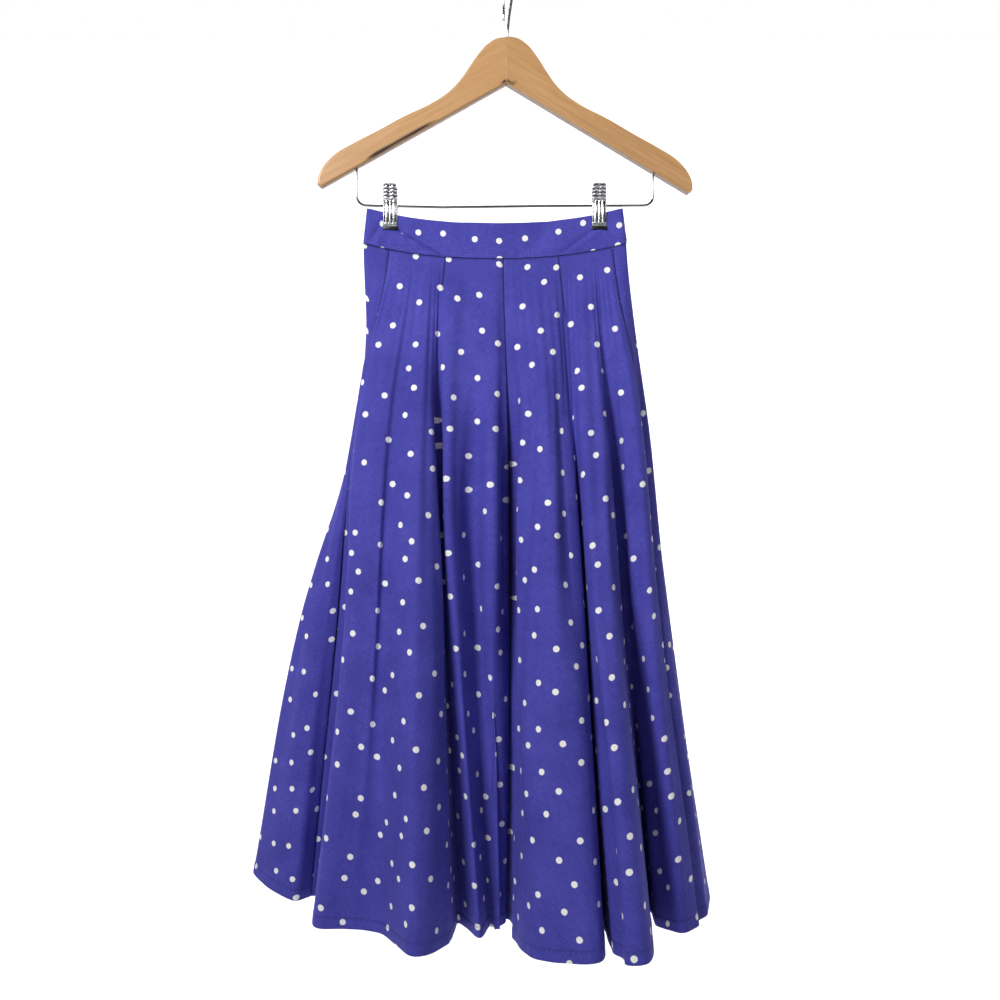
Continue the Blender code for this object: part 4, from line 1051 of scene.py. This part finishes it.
def make_wood(name, side, light, dark, foot_angle):
    """Varnished beech with its grain along one arm, and wear near its lower edge."""
    material, tree, shader = new_material(name, 0.38)
    place = add_node(tree, "ShaderNodeTexCoord")
    turned = add_node(tree, "ShaderNodeMapping", [("Vector", place.outputs["Object"]),
                      ("Rotation", (0, -side * math.radians(foot_angle), 0))])
    stretched = add_node(tree, "ShaderNodeMapping", [("Vector", turned.outputs["Vector"]),
                         ("Scale", (14.0, 90.0, 240.0))])
    grain = add_node(tree, "ShaderNodeTexNoise", [("Vector", stretched.outputs["Vector"]), ("Scale", 1.0),
                     ("Detail", 5.0), ("Roughness", 0.6), ("Distortion", 0.5)])
    fine_place = add_node(tree, "ShaderNodeMapping", [("Vector", turned.outputs["Vector"]),
                          ("Scale", (90.0, 900.0, 1500.0))])
    pores = add_node(tree, "ShaderNodeTexNoise", [("Vector", fine_place.outputs["Vector"]), ("Scale", 1.0),
                     ("Detail", 2.0)])
    mixed = add_node(tree, "ShaderNodeMath", [(0, pores.outputs["Fac"]), (1, 0.30),
                     (2, grain.outputs["Fac"])], operation="MULTIPLY_ADD")
    board = add_node(tree, "ShaderNodeValToRGB", [("Fac", mixed.outputs[0])])
    board.color_ramp.elements[0].position = 0.42
    board.color_ramp.elements[0].color = linear(dark)
    board.color_ramp.elements[1].position = 0.85
    board.color_ramp.elements[1].color = linear(light)
    wear = add_node(tree, "ShaderNodeAttribute", attribute_name="wear")
    patchy = add_node(tree, "ShaderNodeMath", [(0, wear.outputs["Fac"]), (1, grain.outputs["Fac"])],
                      operation="MULTIPLY")
    worn = add_node(tree, "ShaderNodeMapRange", [("Value", patchy.outputs[0]), ("From Min", 0.15),
                    ("From Max", 0.42)])
    rubbed = add_node(tree, "ShaderNodeMix", [("Factor", worn.outputs["Result"]),
                      (6, board.outputs["Color"]), (7, linear("#2C180A"))], data_type="RGBA")
    tree.links.new(rubbed.outputs[2], shader.inputs["Base Color"])
    add_bump(tree, shader, pores.outputs["Fac"], 0.0001, 0.25)
    shader.inputs["Coat Weight"].default_value = 0.35
    shader.inputs["Coat Roughness"].default_value = 0.2
    return material


# Painted light: the two arms' colours differ a little, for how the light from the left falls differently
# along each arm's grain.
wood_left = make_wood("varnished beech, left arm", 1, "#C99C69", "#B9895A", -29.5)
wood_right = make_wood("varnished beech, right arm", -1, "#C69968", "#B08352", -31.0)
# Painted shade: darker copies of the wood for the faces that look down.
underside_shade_left = make_wood("beech with painted shade, underside of left arm", 1, "#8E6A45", "#745333", -29.5)
underside_shade_right = make_wood("beech with painted shade, underside of right arm", -1, "#8E6A45", "#745333", -31.0)
WEAR_SPOTS = (
    # side  out    down   length  width   strength; out and down in metres from the top's middle
    (-1,    0.112, 0.1170, 0.030, 0.0020, 1.20),
    (-1,    0.150, 0.1400, 0.018, 0.0016, 1.00),
    (-1,    0.003, 0.053, 0.006,  0.0022, 0.90),
    (1,     0.004, 0.054, 0.010,  0.0024, 0.95),
    (1,     0.022, 0.066, 0.012,  0.0014, 0.60),
    (1,     0.084, 0.101, 0.0035, 0.0018, 1.00),
    (1,     0.150, 0.140, 0.030,  0.0012, 0.55),
)
tilt = Matrix.Rotation(HANGER_TILT, 3, "Y")
for name, side, wood, under in (("hanger_arm_left", -1, wood_left, underside_shade_left),
                                ("hanger_arm_right", 1, wood_right, underside_shade_right)):
    top = np.array(ARM_TOP)
    lengths = np.concatenate(([0.0], np.cumsum(np.linalg.norm(np.diff(top, axis=0), axis=1))))
    smooth_top = smooth_through(lengths, top, np.linspace(0, lengths[-1], 90))
    bottom = np.linspace(ARM_BOTTOM[0], ARM_BOTTOM[1], 90)
    mitre = np.linspace(ARM_BOTTOM[1], ARM_TOP[0], 14)[1:-1]
    outline = np.vstack((smooth_top, bottom, mitre))
    work = bmesh.new()
    vertices = []
    for out, down in outline:
        flat_point = tilt @ Vector((side * out / 1000, 0, APEX_Z - down / 1000))
        vertices.append(work.verts.new(flat_point + Vector((0, -ARM_THICKNESS / 2, 0))))
    face = work.faces.new(vertices)
    extruded = bmesh.ops.extrude_face_region(work, geom=[face], use_keep_orig=True)
    moved = [part for part in extruded["geom"] if isinstance(part, bmesh.types.BMVert)]
    bmesh.ops.translate(work, verts=moved, vec=(0, ARM_THICKNESS, 0))
    bmesh.ops.recalc_face_normals(work, faces=work.faces[:])
    rims = [edge for edge in work.edges if abs(edge.verts[0].co.y - edge.verts[1].co.y) < 0.001
            and max(abs(v.co.x) for v in edge.verts) > 0.004]
    bmesh.ops.bevel(work, geom=rims, offset=0.0026, segments=4, profile=0.5, affect="EDGES", material=-1,
                    clamp_overlap=True)
    for face in work.faces:
        face.smooth = abs(face.normal.y) < 0.99
        # Painted shade: faces that look down take the darker copy of the wood.
        face.material_index = 1 if face.normal.z < -0.75 else 0
    flats = [face for face in work.faces if len(face.verts) > 4]
    strength_layer = work.verts.layers.float.new("wear")
    bmesh.ops.triangulate(work, faces=flats)
    long_edges = [edge for edge in work.edges if edge.calc_length() > 0.004]
    bmesh.ops.subdivide_edges(work, edges=long_edges, cuts=3, use_grid_fill=True)
    for vertex in work.verts:
        straight = tilt.inverted() @ vertex.co
        out, down = side * straight.x, APEX_Z - straight.z
        slope = math.radians(30)
        value = 0.0
        for spot_side, spot_out, spot_down, length, spot_width, spot_strength in WEAR_SPOTS:
            if spot_side == side and vertex.co.y < 0:
                step_out, step_down = out - spot_out, down - spot_down
                along = step_out * math.cos(slope) + step_down * math.sin(slope)
                across = -step_out * math.sin(slope) + step_down * math.cos(slope)
                value += spot_strength * math.exp(-(along / length)**2 - (across / spot_width)**2)
        vertex[strength_layer] = min(value, 1.0)
    bmesh.ops.triangulate(work, faces=[face for face in work.faces if len(face.verts) > 4])
    arm = mesh_object(f"{name}_wood", work, "varnished_wood", wood, under, smooth=False)
    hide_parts(name)
    print(name, "with", len(arm.data.vertices), "points")

# %% [markdown]
# ## Hook, bar and clips
# The hook and the bar are plain drawn wire, chromed.  The clips are pressed from thin plate: zigzag
# ribs on the upper half give the fingers a grip, four flutes below stiffen the plate, and a black
# dipped tip keeps the jaw from marking the cloth.  A coiled spring round the bar closes each pair.

# %% Wires
HOOK_WIRE = 0.0032
HOOK_RADIUS = 0.021
HOOK_TURN = math.radians(-76)
BAR_WIRE = 0.0028
BAR_Z = -0.2695
LEG_X = (-0.1792, 0.1721)
LEG_TOP_Z = -0.2180
LEG_BEND = 0.011
HOOK_CENTRE_Z = -(HOOK_RADIUS - HOOK_WIRE / 2)
SHANK_FOOT_Z = -0.0900
NECK_Z = -0.0580


def arc(centre, radius, start, end, steps):
    """Points of an arc in the XZ plane; the angles are degrees from +X towards +Z."""
    angles = np.radians(np.linspace(start, end, steps))
    return [Vector((centre[0] + radius * math.cos(a), 0, centre[1] + radius * math.sin(a))) for a in angles]


def wire_mesh(name, points, thickness, slot_name, material, sides=20, smooth_steps=None):
    """A round wire swept along points by turning a ring into each bend."""
    places = np.array([tuple(point) for point in points])
    if smooth_steps:
        reach = np.concatenate(([0.0], np.cumsum(np.linalg.norm(np.diff(places, axis=0), axis=1))))
        places = smooth_through(reach, places, np.linspace(0, reach[-1], smooth_steps))
    tangents = np.gradient(places, axis=0)
    side = Vector(tangents[0]).orthogonal().normalized()
    work = bmesh.new()
    rings = []
    for place, tangent in zip(places, tangents):
        along = Vector(tangent).normalized()
        side = (side - along * side.dot(along)).normalized()
        up = along.cross(side)
        angles = [math.tau * step / sides for step in range(sides)]
        spokes = [(side * math.cos(a) + up * math.sin(a)) * thickness / 2 for a in angles]
        rings.append([work.verts.new(Vector(place) + spoke) for spoke in spokes])
    for lower, upper in zip(rings, rings[1:]):
        for step in range(sides):
            after = (step + 1) % sides
            work.faces.new((lower[step], lower[after], upper[after], upper[step]))
    for ring in (rings[0], rings[-1]):
        work.faces.new(ring)
    bmesh.ops.recalc_face_normals(work, faces=work.faces[:])
    rims = [edge for face in work.faces if len(face.verts) == sides for edge in face.edges]
    bmesh.ops.bevel(work, geom=rims, offset=thickness * 0.15, segments=2, profile=0.5, affect="EDGES",
                    material=-1)
    return mesh_object(name, work, slot_name, material)


turn = Matrix.Rotation(HOOK_TURN, 3, "Z")
neck = [Vector((0, 0, SHANK_FOOT_Z)), Vector((0, 0, NECK_Z)), Vector((0.0030, 0, NECK_Z + 0.007)),
        Vector((0.0110, 0, NECK_Z + 0.018)), Vector((0.0175, 0, NECK_Z + 0.027))]
bend = arc((0, HOOK_CENTRE_Z), HOOK_RADIUS, -15, 180, 16)
tip = [Vector((-HOOK_RADIUS, 0, HOOK_CENTRE_Z - 0.008)),
       Vector((-HOOK_RADIUS + 0.0006, 0, HOOK_CENTRE_Z - 0.015)),
       Vector((-HOOK_RADIUS - 0.0004, 0, HOOK_CENTRE_Z - 0.021))]
hook_wire = wire_mesh("hook_wire", [turn @ point for point in neck + bend + tip], HOOK_WIRE, "chromed_wire",
                      wire_chrome, smooth_steps=150)
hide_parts("hook")

start = arc((LEG_X[0] + LEG_BEND, BAR_Z + LEG_BEND), LEG_BEND, 180, 270, 12)
end = arc((LEG_X[1] - LEG_BEND, BAR_Z + LEG_BEND), LEG_BEND, 270, 360, 12)
bowed = [Vector((-0.079, 0, BAR_Z - 0.0022)), Vector((0.030, 0, BAR_Z - 0.0008))]
bar_points = [Vector((LEG_X[0], 0, LEG_TOP_Z)), *start, *bowed, *end, Vector((LEG_X[1], 0, LEG_TOP_Z))]
bar_wire = wire_mesh("clip_bar_wire", bar_points, BAR_WIRE, "chromed_wire", wire_chrome)
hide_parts("clip_bar")

# %% [markdown]
# ## Clips
# Each clip is two pressed steel plates with ribs for grip, and a coil spring round the bar that pushes
# their tops apart and so closes their tips.

# %% Clips
CLIP_X = (-0.1395, 0.1080)
CLIP_WIDTHS = (0.0146, 0.0176)
CLIP_PLATE = 0.0010
CLIP_SECTIONS = (
    # place      up      out from the bar, in millimetres
    ("handle",   24.5,   9.2),
    ("pinch",    12.0,   6.2),
    ("pivot",    0.0,    4.6),
    ("belly",    -10.0,  5.2),
    ("jaw",      -25.0,  3.8),
)
RIB_PITCH = 0.0040
RIB_DEPTH = 0.00085
FLUTE_DEPTH = 0.0008
clip_ups = np.array([row[1] for row in CLIP_SECTIONS]) / 1000
clip_outs = np.array([[row[2] / 1000] for row in CLIP_SECTIONS])


def bar_height(x):
    """How high the bar lies at a place along it."""
    return float(np.interp(x, (LEG_X[0] + LEG_BEND, -0.079, 0.030, LEG_X[1] - LEG_BEND),
                           (BAR_Z, BAR_Z - 0.0022, BAR_Z - 0.0008, BAR_Z)))


def plate_relief(across, up):
    """Zigzag ribs in two columns above, four upright flutes below, and painted shade in their hollows;
    across runs from -1 to 1.
    """
    zigzag = np.abs(np.abs(across) * 2 - 1) * 0.0016
    ribs = np.sin((up + zigzag) / RIB_PITCH * math.tau)
    ribs *= 1 - 0.8 * bump(across, 0.07)
    ribbed = fade_in(up, 0.0065, 0.0080) * (1 - fade_in(up, 0.0228, 0.0240))
    flutes = np.cos(across * math.pi * 3.9 + math.pi * 0.0)
    fluted = fade_in(up, -0.0215, -0.0205) * (1 - fade_in(up, 0.0040, 0.0055))
    inside_edge = 1 - fade_in(np.abs(across), 0.90, 0.97)
    height = inside_edge * (RIB_DEPTH * 0.5 * ribs * ribbed + FLUTE_DEPTH * 0.5 * flutes * fluted)
    # Painted shade: the troughs of the ribs and flutes get a darkening share for the plate's colour.
    groove_shade = fade_in(-ribs, -0.1, 0.6) * ribbed + fade_in(-flutes, 0.0, 0.7) * fluted
    return height, np.clip(groove_shade, 0, 1)


for label, x in zip(("left", "right"), CLIP_X):
    height = bar_height(x)
    for part, facing in (("front", -1), ("back", 1)):
        fine = np.linspace(clip_ups.min(), clip_ups.max(), 110)
        out = smooth_through(clip_ups[::-1], clip_outs[::-1], fine)[:, 0]
        half = np.interp(fine, (clip_ups.min(), clip_ups.max()), CLIP_WIDTHS[::-1]) / 2
        across = np.linspace(-1, 1, 54)
        rows, groove_shades = [], []
        for up, stand, reach in zip(fine, out, half):
            lip = 0.0012 * fade_in(np.abs(across), 0.86, 1.0)
            raised, groove_shade_row = plate_relief(across, up)
            y = facing * (stand - lip + raised)
            rows.append(np.stack((x + across * reach, y, np.full(54, height + up)), axis=1))
            groove_shades.append(groove_shade_row)
        plate_points, plate_groove_shades = np.array(rows), np.array(groove_shades)
        if facing > 0:
            plate_points, plate_groove_shades = plate_points[:, ::-1], plate_groove_shades[:, ::-1]
        plate = make_sheet(f"clip_{label}_{part}_plate", plate_points[::-1],
                           np.zeros(plate_points.shape[:2] + (2,)), CLIP_PLATE * 0.8,
                           (plate_chrome,), plate_groove_shades[::-1])
        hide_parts(f"clip_{label}_{part}")
    coil_turns = 6
    angles = np.linspace(0, math.tau * coil_turns, 150)
    coil_x = x + np.linspace(-0.0047, 0.0047, 150)
    coil_radius = 0.0029
    coil_points = np.stack((coil_x, coil_radius * np.cos(angles), height + coil_radius * np.sin(angles)),
                           axis=1)
    spring = wire_mesh(f"clip_{label}_coil", coil_points, 0.0012, "chromed_wire", chrome, sides=10)
    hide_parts(f"clip_{label}_spring")

# %% [markdown]
# ## Dipped tips
# The tips are dipped in soft vinyl, which grips the band without marking it.

# %% Dipped tips
black_dip, _, _ = new_material("black vinyl dip", 0.35, colour="#0E0E10")
TIP_HEIGHT = 0.0036
for label, x in zip(("left", "right"), CLIP_X):
    for part, facing in (("front", -1), ("back", 1)):
        size = Matrix.Diagonal((CLIP_WIDTHS[1], CLIP_PLATE * 1.3, TIP_HEIGHT, 1))
        tip_z = bar_height(x) + clip_ups.min() - SEAM_GAP - TIP_HEIGHT / 2
        work = bmesh.new()
        bmesh.ops.create_cube(work, size=1, matrix=Matrix.Translation(
            (x, facing * clip_outs[-1, 0], tip_z)) @ size)
        bmesh.ops.bevel(work, geom=work.edges[:], offset=0.0005, segments=3, profile=0.5, affect="EDGES",
                        material=-1)
        dipped = mesh_object(f"clip_{label}_tip_{part}_dip", work, "black_dip", black_dip)
        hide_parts(f"clip_{label}_tip_{part}")
print("two clips with ribs", RIB_PITCH * 1000, "mm apart")
